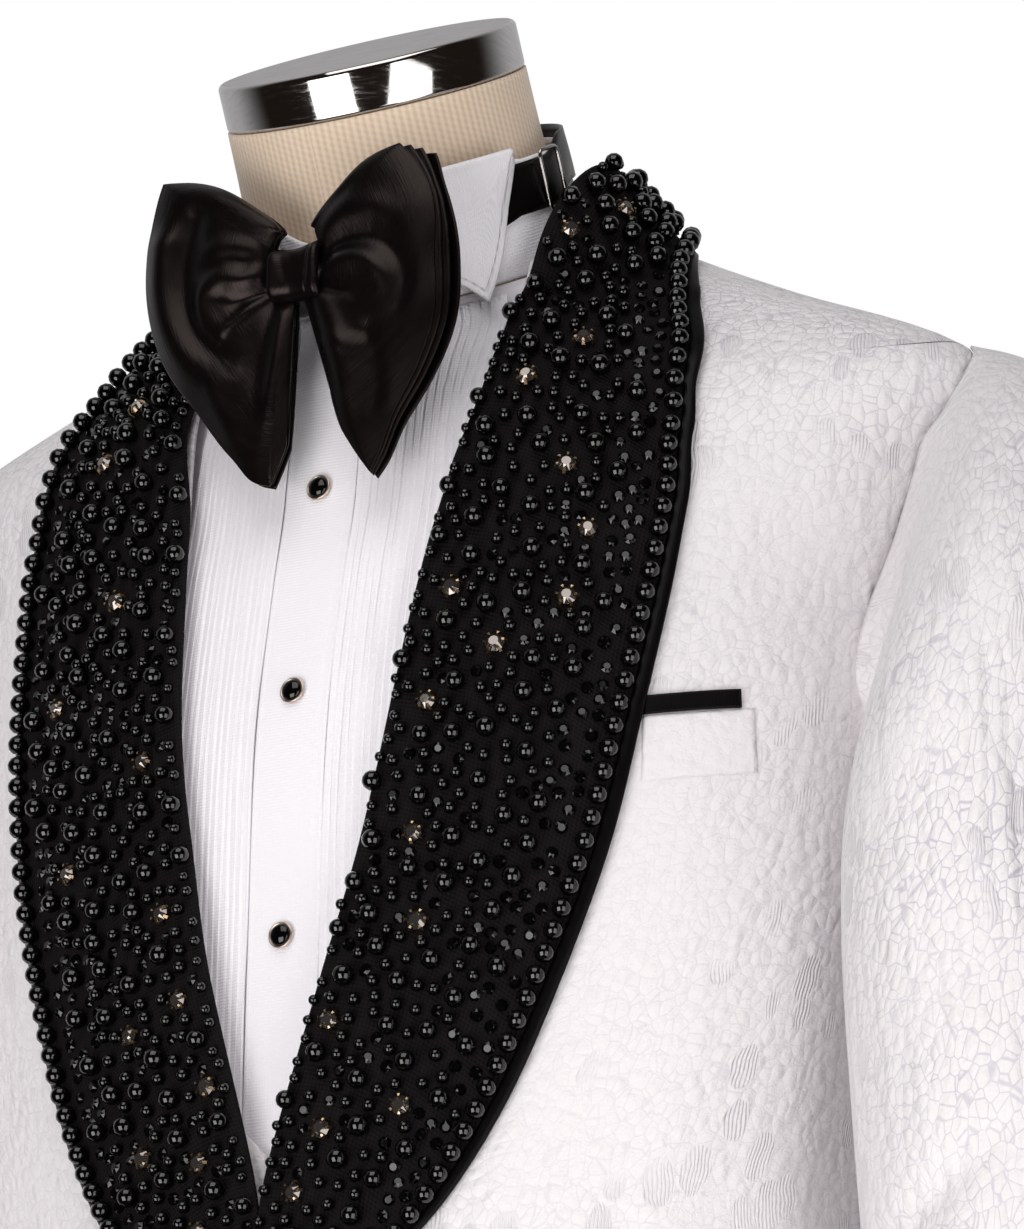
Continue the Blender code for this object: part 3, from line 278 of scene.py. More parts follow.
def grid_faces(rows, columns, closed=False):
    """Quads of a grid; closed joins the last column to the first. Also each corner's row and column."""
    r, c = np.meshgrid(np.arange(rows - 1), np.arange(columns if closed else columns - 1), indexing="ij")
    row = np.stack([r, r, r + 1, r + 1], -1).reshape(-1, 4)
    col = np.stack([c, c + 1, c + 1, c], -1).reshape(-1, 4)
    return row * columns + col % columns, row, col


def put_grid(name, points, uv=None, closed=False, marks=None):
    """A grid as a mesh. uv is (rows, columns, 2), one column more when closed; marks are named values
    per point that a finish reads."""
    rows, columns = points.shape[:2]
    faces, row, col = grid_faces(rows, columns, closed)
    if uv is None:
        around = np.concatenate([points, points[:, :1]], 1) if closed else points
        uv = np.stack([arcs(around, 1), arcs(around, 0)], -1)
    made = put_mesh(name, points.reshape(-1, 3), faces, uv[row, col])
    for mark, values in (marks or {}).items():
        attribute = made.data.attributes.new(mark, "FLOAT", "POINT")
        spread = np.broadcast_to(values, (rows, columns)).astype(np.float32)
        attribute.data.foreach_set("value", spread.ravel())
    return made


def settle(piece, material, nodes=()):
    """Give a piece its finish and its place in the model."""
    for one in material if isinstance(material, (list, tuple)) else [material]:
        piece.data.materials.append(one)
    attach(piece, "root")
    if nodes:
        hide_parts(*nodes)
    return piece


# %% A sheet of cloth and its folds
def cloth(name, points, material, slot, nodes=(), held="draped", rests_on=(), wall=WALL, **grid):
    """A sheet of cloth: the grid is its outer face, and it was cut as wide and long as its longest lines."""
    piece = put_grid(name, points, **grid)
    settle(piece, material, nodes)
    thick = piece.modifiers.new("cloth", "SOLIDIFY")
    thick.thickness = wall
    thick.offset = -1
    around = np.concatenate([points, points[:, :1]], 1) if grid.get("closed") else points
    width, length = (max(float(arcs(around, axis).max()), LEAST_CUT) for axis in (1, 0))
    a = around[:-1, 1:] - around[1:, :-1]
    b = around[1:, 1:] - around[:-1, :-1]
    area = np.linalg.norm(np.cross(a, b), axis=-1).sum() / 2
    area = float(np.clip(area, 0.3 * width * length, width * length))
    print(f"{name}: cut {width * 1000:.0f} x {length * 1000:.0f} mm, {len(points)} rows of points")
    return piece


def down_columns(run, rows, at):
    """A cubic curve down each column of a grid, read at the lengths at."""
    return np.stack([np.stack([smooth(run, rows[:, c, k], at) for k in range(3)], -1)
                     for c in range(rows.shape[1])], 1)


def mirrored(grid):
    """The same grid on the wearer's other side."""
    other = grid[:, ::-1].copy()
    other[..., 0] *= -1
    return other


def fold(u, v, start, end, width, height, bow=0.0):
    """A soft ridge, or a trough where height is negative, from start to end: a bell exp(-(d/width)^2)
    across the line, which may bow sideways, faded out along it."""
    start, end = np.array(start, float), np.array(end, float)
    line = end - start
    length = np.hypot(*line)
    along = ((u - start[0]) * line[0] + (v - start[1]) * line[1]) / length**2
    across = ((u - start[0]) * line[1] - (v - start[1]) * line[0]) / length
    arch = np.sin(math.pi * np.clip(along, 0, 1))
    return height * np.exp(-((across - bow * arch) / width) ** 2) * arch**0.8


def folds(u, v, table):
    """Sum of the folds in a table of (start, end, width, height, bow)."""
    return sum(fold(u, v, *row) for row in table)


# %% [markdown]
# ## Finishes
# Colours are read as sRGB hex values. One function adds a node. Each cloth's weave is drawn from its UV
# map, whose unit is the metre, so a scale is one over the size of a thread or motif.

# %% Colour and node helpers
# A Map Range's inputs 1 to 4 are the range it reads and the range it gives; SOFT rounds its two ends.
# A Mix's inputs 0, 6 and 7 are the share and the two colours of BLEND. A Bump's Distance is the real relief.
SOFT = {"interpolation_type": "SMOOTHSTEP"}
BLEND = {"out": 2, "data_type": "RGBA"}
RIDGES = 0.15915  # divided by a pitch: the scale of a wave whose ridges and hollows are one pitch wide


def colour(code):
    """sRGB hex to linear RGBA: c/12.92 below 0.04045, else ((c + 0.055)/1.055)^2.4."""
    c = np.array([int(code[k:k + 2], 16) for k in (1, 3, 5)]) / 255
    return (*np.where(c <= 0.04045, c / 12.92, ((c + 0.055) / 1.055) ** 2.4).tolist(), 1.0)


def add(tree, kind, values=None, out=0, **settings):
    """Add a shader node, set it up, fill its inputs with numbers or links, and give one of its outputs."""
    made = tree.nodes.new("ShaderNode" + kind)
    for name, value in settings.items():
        setattr(made, name, value)
    for name, value in (values or {}).items():
        if isinstance(value, bpy.types.NodeSocket):
            tree.links.new(value, made.inputs[name])
        else:
            made.inputs[name].default_value = value
    return made.outputs[out]


def new_material(name, base, **sockets):
    """A material whose Principled shader has constant values; gives it, its tree and its shader."""
    made = bpy.data.materials.new(name)
    made.use_nodes = True
    shader = made.node_tree.nodes["Principled BSDF"]
    shader.inputs["Base Color"].default_value = colour(base)
    made.diffuse_color = colour(base)
    for socket, value in sockets.items():
        shader.inputs[socket.replace("_", " ")].default_value = value
    return made, made.node_tree, shader


# %% [markdown]
# ### White floral jacquard
# The jacket is a puckered jacquard: raised honeycomb cells outlined by shiny lilac-grey threads, with
# leaf and petal shapes filled by fine satin hatching. Painted images could carry the pattern;
# a Voronoi pattern in millimetres keeps it sharp at any distance.

# %% White jacquard
def make_jacquard():
    """Puffed cells 4.5 mm across with shiny outlines, petals about 18 mm long with 0.9 mm hatching, a fine
    crinkle over all, drawn puckers about 8 mm apart that run down the cloth, and painted shade on the lines
    that grows with the pucker mark."""
    made, tree, shader = new_material("white floral jacquard", "#EBE8EA", Roughness=0.5, Sheen_Weight=0.15,
                                      Sheen_Roughness=0.4, Specular_IOR_Level=0.35)
    uv = add(tree, "UVMap", uv_map="UVMap")
    wander = add(tree, "TexNoise", {"Vector": uv, "Scale": 60.0, "Detail": 1.0}, out=1)
    swayed = add(tree, "VectorMath", {0: wander, 1: (0.5, 0.5, 0.5)}, operation="SUBTRACT")
    swayed = add(tree, "VectorMath", {0: swayed, 1: (0.005, 0.005, 0.0), 2: uv}, operation="MULTIPLY_ADD")
    stretched = add(tree, "VectorMath", {0: swayed, 1: (1.0, 0.80, 0.0)}, operation="MULTIPLY")
    edge = add(tree, "TexVoronoi", {"Vector": stretched, "Scale": 205.0, "Randomness": 0.85},
               feature="DISTANCE_TO_EDGE")
    line = add(tree, "MapRange", {"Value": edge, 1: 0.01, 2: 0.060, 3: 1.0, 4: 0.0}, **SOFT)
    heart = add(tree, "TexVoronoi", {"Vector": stretched, "Scale": 205.0, "Randomness": 0.85}, feature="F1")
    puff = add(tree, "MapRange", {"Value": heart, 1: 0.05, 2: 0.80, 3: 1.0, 4: 0.0}, **SOFT)
    leaned = add(tree, "Mapping", {"Vector": swayed, "Rotation": (0.0, 0.0, 0.6), "Scale": (1.0, 0.55, 1.0)})
    leaf = add(tree, "TexVoronoi", {"Vector": leaned, "Scale": 62.0, "Randomness": 1.0}, feature="F1")
    inside = add(tree, "MapRange", {"Value": leaf, 1: 0.30, 2: 0.36, 3: 1.0, 4: 0.0}, **SOFT)
    patch = add(tree, "TexNoise", {"Vector": uv, "Scale": 13.0, "Detail": 1.0})
    patch = add(tree, "MapRange", {"Value": patch, 1: 0.46, 2: 0.54, 3: 0.0, 4: 1.0}, **SOFT)
    inside = add(tree, "Math", {0: inside, 1: patch}, operation="MULTIPLY")
    rim = add(tree, "MapRange", {"Value": leaf, 1: 0.27, 2: 0.33, 3: 0.0, 4: 1.0}, **SOFT)
    rim = add(tree, "Math", {0: rim, 1: inside}, operation="MULTIPLY")
    hatch = add(tree, "TexWave", {"Vector": leaned, "Scale": 340.0, "Distortion": 3.0, "Detail": 1.0,
                                  "Detail Scale": 0.6}, out=1, wave_type="BANDS", bands_direction="DIAGONAL")
    outside = add(tree, "Math", {0: 1.0, 1: inside}, operation="SUBTRACT")
    threads = add(tree, "Math", {0: line, 1: outside}, operation="MULTIPLY")
    hatched = add(tree, "Math", {0: hatch, 1: inside}, operation="MULTIPLY")
    drawn = add(tree, "Math", {0: hatched, 1: 0.5, 2: threads}, operation="MULTIPLY_ADD")
    drawn = add(tree, "Math", {0: rim, 1: 0.7, 2: drawn}, operation="MULTIPLY_ADD", use_clamp=True)
    pucker_and_shade = add(tree, "Attribute", attribute_name="pucker_and_shade", out=2)
    strength = add(tree, "TexNoise", {"Vector": uv, "Scale": 16.0, "Detail": 2.0})
    strength = add(tree, "MapRange", {"Value": strength, 1: 0.35, 2: 0.62, 3: 0.45, 4: 1.0})
    # painted shade: the lines' lilac-grey is deepened in step with the pucker mark, so puckered places look
    # shaded
    tint = add(tree, "Math", {0: pucker_and_shade, 1: 0.95, 2: -0.04}, operation="MULTIPLY_ADD")
    tint = add(tree, "Math", {0: tint, 1: strength}, operation="MULTIPLY")
    tint = add(tree, "Math", {0: tint, 1: drawn}, operation="MULTIPLY")
    tinted = add(tree, "Mix", {0: tint, 6: colour("#EAE6E8"), 7: colour("#A5A1B4")}, **BLEND)
    tree.links.new(tinted, shader.inputs["Base Color"])
    ridge_at = add(tree, "Mapping", {"Vector": swayed, "Scale": (1.0, 0.14, 1.0)})
    ridge = add(tree, "TexVoronoi", {"Vector": ridge_at, "Scale": 120.0, "Randomness": 0.7}, feature="F1")
    ridge = add(tree, "Math", {0: ridge, 1: pucker_and_shade}, operation="MULTIPLY")
    height = add(tree, "Math", {0: puff, 1: outside}, operation="MULTIPLY")
    height = add(tree, "Math", {0: hatched, 1: 0.45, 2: height}, operation="MULTIPLY_ADD")
    height = add(tree, "Math", {0: height, 1: strength}, operation="MULTIPLY")
    height = add(tree, "Math", {0: ridge, 1: -3.4, 2: height}, operation="MULTIPLY_ADD")
    crinkle = add(tree, "TexNoise", {"Vector": uv, "Scale": 330.0, "Detail": 3.0, "Roughness": 0.65})
    height = add(tree, "Math", {0: crinkle, 1: 0.9, 2: height}, operation="MULTIPLY_ADD")
    relief = add(tree, "Bump", {"Height": height, "Distance": 0.0008, "Strength": 1.0})
    tree.links.new(relief, shader.inputs["Normal"])
    return made


JACQUARD = make_jacquard()

# %% [markdown]
# ### The other cloths
# Shirting is a plain cotton weave, the bow and bindings are satin, whose long floats give a soft broad
# sheen, the trousers are a matte wool, and the form wears a cream ribbed knit.

# %% Woven and knitted finishes
def make_weave(name, base, pitch, depth, gap_shade=None, **sockets):
    """Plain weave: two waves at right angles, their threads and gaps one pitch wide; a darker colour, if
    given, is mixed into the gaps and low slubs as painted shade.
    """
    made, tree, shader = new_material(name, base, **sockets)
    uv = add(tree, "UVMap", uv_map="UVMap")
    warp = add(tree, "TexWave", {"Vector": uv, "Scale": RIDGES / pitch, "Distortion": 0.6},
               out=1, bands_direction="X")
    weft = add(tree, "TexWave", {"Vector": uv, "Scale": RIDGES / pitch, "Distortion": 0.6},
               out=1, bands_direction="Y")
    height = add(tree, "Math", {0: warp, 1: weft}, operation="ADD")
    slub = add(tree, "TexNoise", {"Vector": uv, "Scale": 90.0, "Detail": 3.0})
    height = add(tree, "Math", {0: slub, 1: 0.8, 2: height}, operation="MULTIPLY_ADD")
    if gap_shade:
        # painted shade: the thread gaps and low slubs are mixed towards the darker colour
        painted_shade = add(tree, "MapRange", {"Value": height, 1: 0.5, 2: 2.2, 3: 1.0, 4: 0.0})
        tinted = add(tree, "Mix", {0: painted_shade, 6: colour(base), 7: colour(gap_shade)}, **BLEND)
        tree.links.new(tinted, shader.inputs["Base Color"])
    relief = add(tree, "Bump", {"Height": height, "Distance": depth, "Strength": 1.0})
    tree.links.new(relief, shader.inputs["Normal"])
    return made


def make_knit():
    """Rib knit: ribs 1.5 mm wide with hollows as wide between them, and slanting loops 1.2 mm high; painted
    shade darkens the hollows, over a cream that varies at random.
    """
    made, tree, shader = new_material("cream rib knit", "#D8C6A6", Roughness=0.85, Sheen_Weight=0.3)
    uv = add(tree, "UVMap", uv_map="UVMap")
    rib = add(tree, "TexWave", {"Vector": uv, "Scale": RIDGES / 0.0015, "Distortion": 0.35,
                                "Detail Scale": 2.0}, out=1, bands_direction="X")
    slant = add(tree, "Mapping", {"Vector": uv, "Rotation": (0.0, 0.0, 0.35)})
    loops = add(tree, "TexWave", {"Vector": slant, "Scale": RIDGES / 0.0012, "Distortion": 0.8},
                out=1, bands_direction="Y")
    cloud = add(tree, "TexNoise", {"Vector": uv, "Scale": 45.0, "Detail": 3.0})
    height = add(tree, "Math", {0: loops, 1: 0.35, 2: rib}, operation="MULTIPLY_ADD")
    # painted shade: the low places between ribs and loops are mixed towards a darker brown
    painted_shade = add(tree, "MapRange", {"Value": height, 1: 0.0, 2: 1.1, 3: 1.0, 4: 0.0})
    painted_shade = add(tree, "Math", {0: painted_shade, 1: 0.4}, operation="MULTIPLY")
    yarn_tone = add(tree, "Mix", {0: cloud, 6: colour("#EBD7C2"), 7: colour("#E4CDB4")}, **BLEND)
    tinted = add(tree, "Mix", {0: painted_shade, 6: yarn_tone, 7: colour("#A98F70")}, **BLEND)
    tree.links.new(tinted, shader.inputs["Base Color"])
    relief = add(tree, "Bump", {"Height": height, "Distance": 0.0002, "Strength": 0.8})
    tree.links.new(relief, shader.inputs["Normal"])
    return made


def make_satin(name, base, **sockets):
    """Warp satin: threads 0.5 mm apart, drawn coarse, that run along the piece, and a slight cloudiness."""
    made, tree, shader = new_material(name, base, **sockets)
    uv = add(tree, "UVMap", uv_map="UVMap")
    threads = add(tree, "Mapping", {"Vector": uv, "Scale": (1.0, 0.06, 1.0)})
    grain = add(tree, "TexNoise", {"Vector": threads, "Scale": 1900.0, "Detail": 2.0})
    drift = add(tree, "TexNoise", {"Vector": uv, "Scale": 60.0, "Detail": 2.0})
    rough = add(tree, "MapRange", {"Value": drift, 1: 0.3, 2: 0.7, 3: 0.25, 4: 0.36})
    tree.links.new(rough, shader.inputs["Roughness"])
    relief = add(tree, "Bump", {"Height": grain, "Distance": 0.0002, "Strength": 0.5})
    tree.links.new(relief, shader.inputs["Normal"])
    return made


SHIRTING = make_weave("white cotton shirting", "#F6F3F8", 0.0006, 0.00008, Roughness=0.62, Sheen_Weight=0.15)
WOOL = make_weave("black wool barathea", "#17161A", 0.0007, 0.00015, gap_shade="#0C0B0D", Roughness=0.78,
                  Sheen_Weight=0.25)
FELT = make_weave("black collar cloth", "#1A1617", 0.0008, 0.0002, gap_shade="#110E0F", Roughness=0.85,
                  Specular_IOR_Level=0.10)
SATIN = make_satin("black silk satin", "#090607", Specular_Tint=colour("#E8D2CC"), Specular_IOR_Level=0.32)
BINDING = make_satin("black satin binding", "#0A0808", Specular_IOR_Level=0.12)
KNIT = make_knit()

# %% [markdown]
# ### Hard finishes
# Beads are moulded black glass, the crystals are cut glass, which is glossier and flat-faced, and their
# claws are gold-plated brass. The cap, pole and base of the form are polished steel.

# %% Glass, metal and pearl
def make_hard(name, base, grit=None, wear=0.0, **sockets):
    """A smooth hard finish; grit is the size of its handling marks in metres and wear how rough they are."""
    made, tree, shader = new_material(name, base, **sockets)
    if grit:
        place = add(tree, "TexCoord", out=3)
        marks = add(tree, "TexNoise", {"Vector": place, "Scale": 1 / grit, "Detail": 4.0, "Roughness": 0.65})
        clean = sockets["Roughness"]
        rough = add(tree, "MapRange", {"Value": marks, 1: 0.45, 2: 0.75, 3: clean, 4: clean + wear})
        tree.links.new(rough, shader.inputs["Roughness"])
    return made


PEARL = make_hard("moulded black glass", "#040404", grit=0.003, wear=0.06, Roughness=0.05, IOR=1.62)
CRYSTAL = make_hard("cut jet crystal", "#040405", grit=0.002, wear=0.06, Roughness=0.08, IOR=1.55)
RHINESTONE = make_hard("foiled smoke crystal", "#8C8580", grit=0.002, wear=0.05, Roughness=0.05, Metallic=0.9)
GOLD = make_hard("gold-plated brass", "#B79F80", grit=0.001, wear=0.2, Roughness=0.25, Metallic=1.0)
ENAMEL = make_hard("black stone cabochon", "#050505", grit=0.004, wear=0.05, Roughness=0.05)
RIM = make_hard("rolled rose-gold rim", "#E2CDBE", grit=0.001, wear=0.15, Roughness=0.3, Metallic=1.0)
SHELL_BUTTON = make_hard("mother-of-pearl", "#E4E0DC", grit=0.0012, wear=0.2, Roughness=0.22,
                         Coat_Weight=0.4, Coat_Roughness=0.1)
WIRE = make_hard("nickel-plated wire", "#B9B4B2", grit=0.001, wear=0.15, Roughness=0.18, Metallic=1.0)


def make_steel(name, rough, streak):
    """Polished steel: fine turned streaks round the piece and scattered handling scratches."""
    made, tree, shader = new_material(name, "#C9C6C4", Metallic=1.0, Roughness=rough)
    place = add(tree, "TexCoord", out=3)
    long_marks = add(tree, "Mapping", {"Vector": place, "Rotation": (NECK_LEAN, 0.0, 0.0),
                                       "Scale": (1.0, 1.0, 9.0)})
    marks = add(tree, "TexNoise", {"Vector": long_marks, "Scale": 90.0, "Detail": 6.0, "Roughness": 0.7})
    value = add(tree, "MapRange", {"Value": marks, 1: 0.5, 2: 0.8, 3: rough, 4: rough + streak})
    tree.links.new(value, shader.inputs["Roughness"])
    tint = add(tree, "MapRange", {"Value": marks, 1: 0.4, 2: 0.8, 3: 0.0, 4: 0.35})
    tinted = add(tree, "Mix", {0: tint, 6: colour("#CFCCCA"), 7: colour("#9C9490")}, **BLEND)
    tree.links.new(tinted, shader.inputs["Base Color"])
    return made


STEEL = make_steel("polished steel", 0.07, 0.22)
DULL_STEEL = make_steel("satin-turned steel", 0.38, 0.15)
print(len(bpy.data.materials), "finishes with those of the frame")

# %% [markdown]
# ## The dress form
# A padded torso in a knit cover, a steel cap on its leaning neck, a pole and a round base. The hard
# pieces are turned on a lathe, so each is a profile carried round an axis.

# %% Turned pieces
def turned(name, profile, centre, axis, steps=96):
    """A profile (radius, height) carried round an axis: p = centre + r(cos t) e1 + r(sin t) e2 + h axis."""
    profile = np.array(profile, float)
    axis = np.array(axis, float) / np.linalg.norm(axis)
    first = np.cross((0.0, 1.0, 0.0), axis)
    first /= np.linalg.norm(first)
    second = np.cross(axis, first)
    angle = full_turn(steps)
    ring = np.cos(angle)[:, None] * first + np.sin(angle)[:, None] * second
    points = np.array(centre) + profile[:, :1, None] * ring + profile[:, 1:, None] * axis
    faces, _, _ = grid_faces(len(profile), steps, closed=True)
    faces = [list(f) for f in faces] + [list(range(steps))[::-1]]
    faces.append(list(range((len(profile) - 1) * steps, len(profile) * steps)))
    made = put_mesh(name, points.reshape(-1, 3), faces)
    made.data.polygons.foreach_set("use_smooth", np.arange(len(faces)) < len(faces) - 2)
    return made


def neck_point(along, radius, turn):
    """Point round the leaning neck's axis."""
    along, radius, turn = np.broadcast_arrays(*(np.asarray(v, float) for v in (along, radius, turn)))
    return np.stack([radius * np.sin(turn), NECK_FOOT_Y - along * LEAN_S - radius * LEAN_C * np.cos(turn),
                     NECK_FOOT_Z + along * LEAN_C - radius * LEAN_S * np.cos(turn)], -1)


NECK_AXIS = (0.0, -LEAN_S, LEAN_C)
CAP_RADIUS, CAP_FOOT, CAP_HEIGHT = 0.0578, 0.0818, 0.0182
BEND = np.linspace(0, math.pi / 2, 6)
cap_profile = [(CAP_RADIUS - 0.0016, 0.0)] + [
    (CAP_RADIUS - 0.0016 * (1 - math.sin(b)), 0.0016 * (1 - math.cos(b))) for b in BEND] + [
    (CAP_RADIUS - 0.0022 * (1 - math.cos(b)), CAP_HEIGHT - 0.0022 * (1 - math.sin(b))) for b in BEND] + [
    (CAP_RADIUS * 0.94, CAP_HEIGHT), (CAP_RADIUS * 0.5, CAP_HEIGHT), (0.004, CAP_HEIGHT)]
cap = turned("neck_cap", cap_profile, neck_point(CAP_FOOT, 0.0, 0.0), NECK_AXIS, 128)
heights = np.array([p.center for p in cap.data.polygons]) @ np.array(NECK_AXIS)
settle(cap, [STEEL, DULL_STEEL], ["form_neck_cap"])
cap.data.polygons.foreach_set("material_index", (heights > heights.max() - 0.0002).astype(int))
pole = turned("stand_pole", [(0.0125, 0.0183), (0.0125, 0.8215)], (-0.088, 0.0, 0.0), (0, 0, 1), 48)
settle(pole, STEEL, ["form_pole"])
BASE_RADIUS, BASE_HEIGHT, BASE_EDGE = 0.190, 0.018, 0.006
base_profile = [(0.188, 0.0), (0.190, 0.0015), (0.190, 0.012)]
base_profile += [(BASE_RADIUS - BASE_EDGE * (1 - math.cos(b)), 0.012 + BASE_EDGE * math.sin(b)) for b in BEND]
base_profile += [(0.05, BASE_HEIGHT), (0.001, BASE_HEIGHT)]
base = turned("stand_base", base_profile, (0, 0, 0), (0, 0, 1), 128)
settle(base, STEEL, ["form_base"])

# %% [markdown]
# The padded torso is a closed skin. Its knit cover runs up the neck under the cap.

# %% Padded torso
TORSO_FOOT, SIDES = 0.822, 120
turns = full_turn(SIDES)
levels = np.r_[np.linspace(TORSO_FOOT, 1.43, 60), np.linspace(1.436, LEVELS[-1], 40)]
inset = np.interp(levels, (0.7, 1.28, 1.36, 1.41, 1.44, 1.46, 1.6), (0.004, 0.005, 0.011, 0.011, 0.005, 0, 0))
rings = body(turns[None, :], levels[:, None], -inset[:, None])
rings[0, :, 2] = TORSO_FOOT
around = np.linspace(0, 2 * math.pi, SIDES + 1)
uv = np.stack(np.broadcast_arrays(around[None, :] * 0.062, levels[:, None] * 1.1), -1)
faces, row, col = grid_faces(len(levels), SIDES, closed=True)
caps = [list(range(SIDES))[::-1], list(range((len(rings) - 1) * SIDES, len(rings) * SIDES))]
ends = np.stack([np.cos(around[:-1]), np.sin(around[:-1])], -1) * 0.06
form = put_mesh("padded_torso", rings.reshape(-1, 3), [*faces, *caps],
                np.vstack([uv[row, col].reshape(-1, 2), ends[::-1], ends]))
settle(form, KNIT, ["form_torso"])
print("form:", len(form.data.polygons), "faces")

# %% [markdown]
# ## The shirt
# Fronts, back, a pleated bib each side of a plain placket, a stand collar with folded wings, studs and
# the collar button. Knife pleats could be a bump only; as real steps 0.8 mm high they catch the light.

# %% Shirt fronts and back
MEAN_RADIUS = 0.172  # turns an angle round the torso into metres of cloth


def panel(levels, near, far, columns, out):
    """Grid between two cutting lines given as turns for each level, and its UV in metres round and up."""
    share = np.linspace(0, 1, columns)[None, :]
    turn = near[:, None] * (1 - share) + far[:, None] * share
    level = np.broadcast_to(np.asarray(levels, float)[:, None], turn.shape)
    return body(turn, level, out(turn, level)), np.stack([turn * MEAN_RADIUS, level], -1)


def both_sides(name, nodes, points, uv=None, **more):
    """The wearer's left piece, and its mirror image on the right."""
    marks = more.pop("marks", None)
    cloth(name + "_left", points, nodes=[nodes + "_left"], uv=uv, marks=marks, **more)
    other = None if uv is None else uv[:, ::-1] * (-1, 1)
    flipped = {key: np.broadcast_to(value, points.shape[:2])[:, ::-1] for key, value in (marks or {}).items()}
    cloth(name + "_right", mirrored(points), nodes=[nodes + "_right"], uv=other, marks=flipped, **more)


def shirt_face(turn, level):
    """Outer face of the shirt: the same height everywhere."""
    return np.full(turn.shape, SHIRT_INNER + SHIRT_WALL)


def whole_back(levels, columns, out):
    """A back in one piece, from side seam to side seam."""
    near = side_limit(levels, ARM_BACK, SEAM_TURN)
    half, uv = panel(levels, near, np.full(len(levels), math.pi), columns, out)
    other = uv[:, ::-1][:, 1:] * (-1, 1) + (math.pi * 2 * MEAN_RADIUS, 0)
    return np.concatenate([half, mirrored(half)[:, 1:]], 1), np.concatenate([uv, other], 1)


SHIRT_FOOT = 1.0485
levels = rows_between(SHIRT_FOOT, NECKLINE, 30)
near = turn_at_x(np.full(levels.shape, SEAM), levels, SHIRT_INNER)
points, uv = panel(levels, near, side_limit(levels, ARM_FRONT, -SEAM_TURN), 30, shirt_face)
both_sides("shirt_front_cloth", "shirt_front", points, uv, material=SHIRTING, slot="shirting", wall=0.0009,
           rests_on=["padded_torso"])
points, uv = whole_back(levels, 24, shirt_face)
cloth("shirt_back_cloth", points, SHIRTING, "shirting", ["shirt_back"], uv=uv, wall=0.0009,
      rests_on=["padded_torso"])

# %% Placket, with a row of stitches along each edge
PLACKET_HALF, PLACKET_LOW = 0.0150, SHIRT_INNER + SHIRT_WALL + SEAM
across = np.linspace(-1, 1, 31)
levels = np.linspace(SHIRT_FOOT, NECKLINE, 90)
turn = turn_at_x(PLACKET_HALF * across[None, :], levels[:, None], PLACKET_LOW)
rise = 0.0022 * (1 - 0.16 * np.clip((np.abs(across) - 0.93) / 0.07, 0, 1) ** 2)
rise = rise - 0.00022 * np.exp(-((np.abs(across) - 0.80) / 0.035) ** 2)
points = body(turn, levels[:, None], PLACKET_LOW + rise[None, :])
cloth("placket_cloth", points, SHIRTING, "shirting", ["shirt_placket"], wall=0.0008, held="folded",
      rests_on=["shirt_front_cloth_left"])

# %% Pleated bibs
PLEAT, PLEATS = 0.0030, 15
BIB_LOW = SHIRT_INNER + SHIRT_WALL + BIB_SEAT
within = np.array((0.0, 0.10, 0.30, 0.50, 0.60, 0.80))  # places inside one pleat
x = PLACKET_HALF + 0.00004 + PLEAT * (np.arange(PLEATS)[:, None] + within[None, :]).ravel()
rise = np.tile((0.0, 0.00085, 0.00075, 0.00050, 0.00062, 0.00030), PLEATS)
levels = np.linspace(1.10, 1.4565, 70)
sway = 0.00025 * np.sin(levels[:, None] * 60 + x[None, :] * 900)
turn = turn_at_x(x[None, :] + sway, levels[:, None], BIB_LOW)
points = body(turn, levels[:, None], BIB_LOW + 0.0009 + rise[None, :])
both_sides("bib_cloth", "shirt_bib", points, material=SHIRTING, slot="shirting", wall=0.0008, held="folded",
           rests_on=["shirt_front_cloth_left", "shirt_front_cloth_right"])

# %% [markdown]
# The collar is a stand with a wing each side. A wing is folded from the stand's top edge, so its grid
# starts on the stand, goes over a small roll and falls to its pointed tip; a row of stitches follows
# its edge.

# %% Collar stand
COLLAR_ALONG = (0.0185, 0.036, 0.0550)
COLLAR_TOP, COLLAR_WALL, STRAP_WALL = 0.0550, 0.0016, 0.0012


def collar_radius(along, turn):
    """Inner radius of the stand: against the neck behind, 7.4 mm off it in front."""
    neck = np.interp(along, COLLAR_ALONG, smooth(NECK[:, 0], NECK[:, 1], COLLAR_ALONG))
    return neck + 2 * SEAM + 0.0068 * (1 - ((1 - np.cos(turn)) / 2) ** 3)


def front_top(away):
    """Height of the top edge in front, by degrees from the centre: it dips by a bell of 17 mm."""
    return COLLAR_TOP - 0.017 * np.exp(-(away / 20) ** 2)


def collar_top(turn):
    """Height of the stand's top edge all round: behind the wings it is 3.5 mm lower."""
    away = np.degrees(np.minimum(turn, 2 * math.pi - turn))
    return front_top(away) - 0.0035 * step((away - 60) / 15)


COLLAR_FOOT = COLLAR_ALONG[0]
turns = np.linspace(0.005, 2 * math.pi - 0.005, 181)
top = collar_top(turns)
along = COLLAR_FOOT + (top[None, :] - COLLAR_FOOT) * np.linspace(0, 1, 16)[:, None]
band = neck_point(along, collar_radius(along, turns[None, :]) + COLLAR_WALL, turns[None, :])
foot = body(turns, NECKLINE + 2 * SEAM, SHIRT_INNER + SHIRT_WALL)
blend = np.linspace(0, 1, 7)[:-1, None, None]
points = np.concatenate([foot[None] * (1 - blend) + band[:1] * blend, band])
cloth("collar_stand_cloth", points, SHIRTING, "shirting", ["shirt_collar_stand"], wall=0.0014, held="folded",
      rests_on=["padded_torso"])

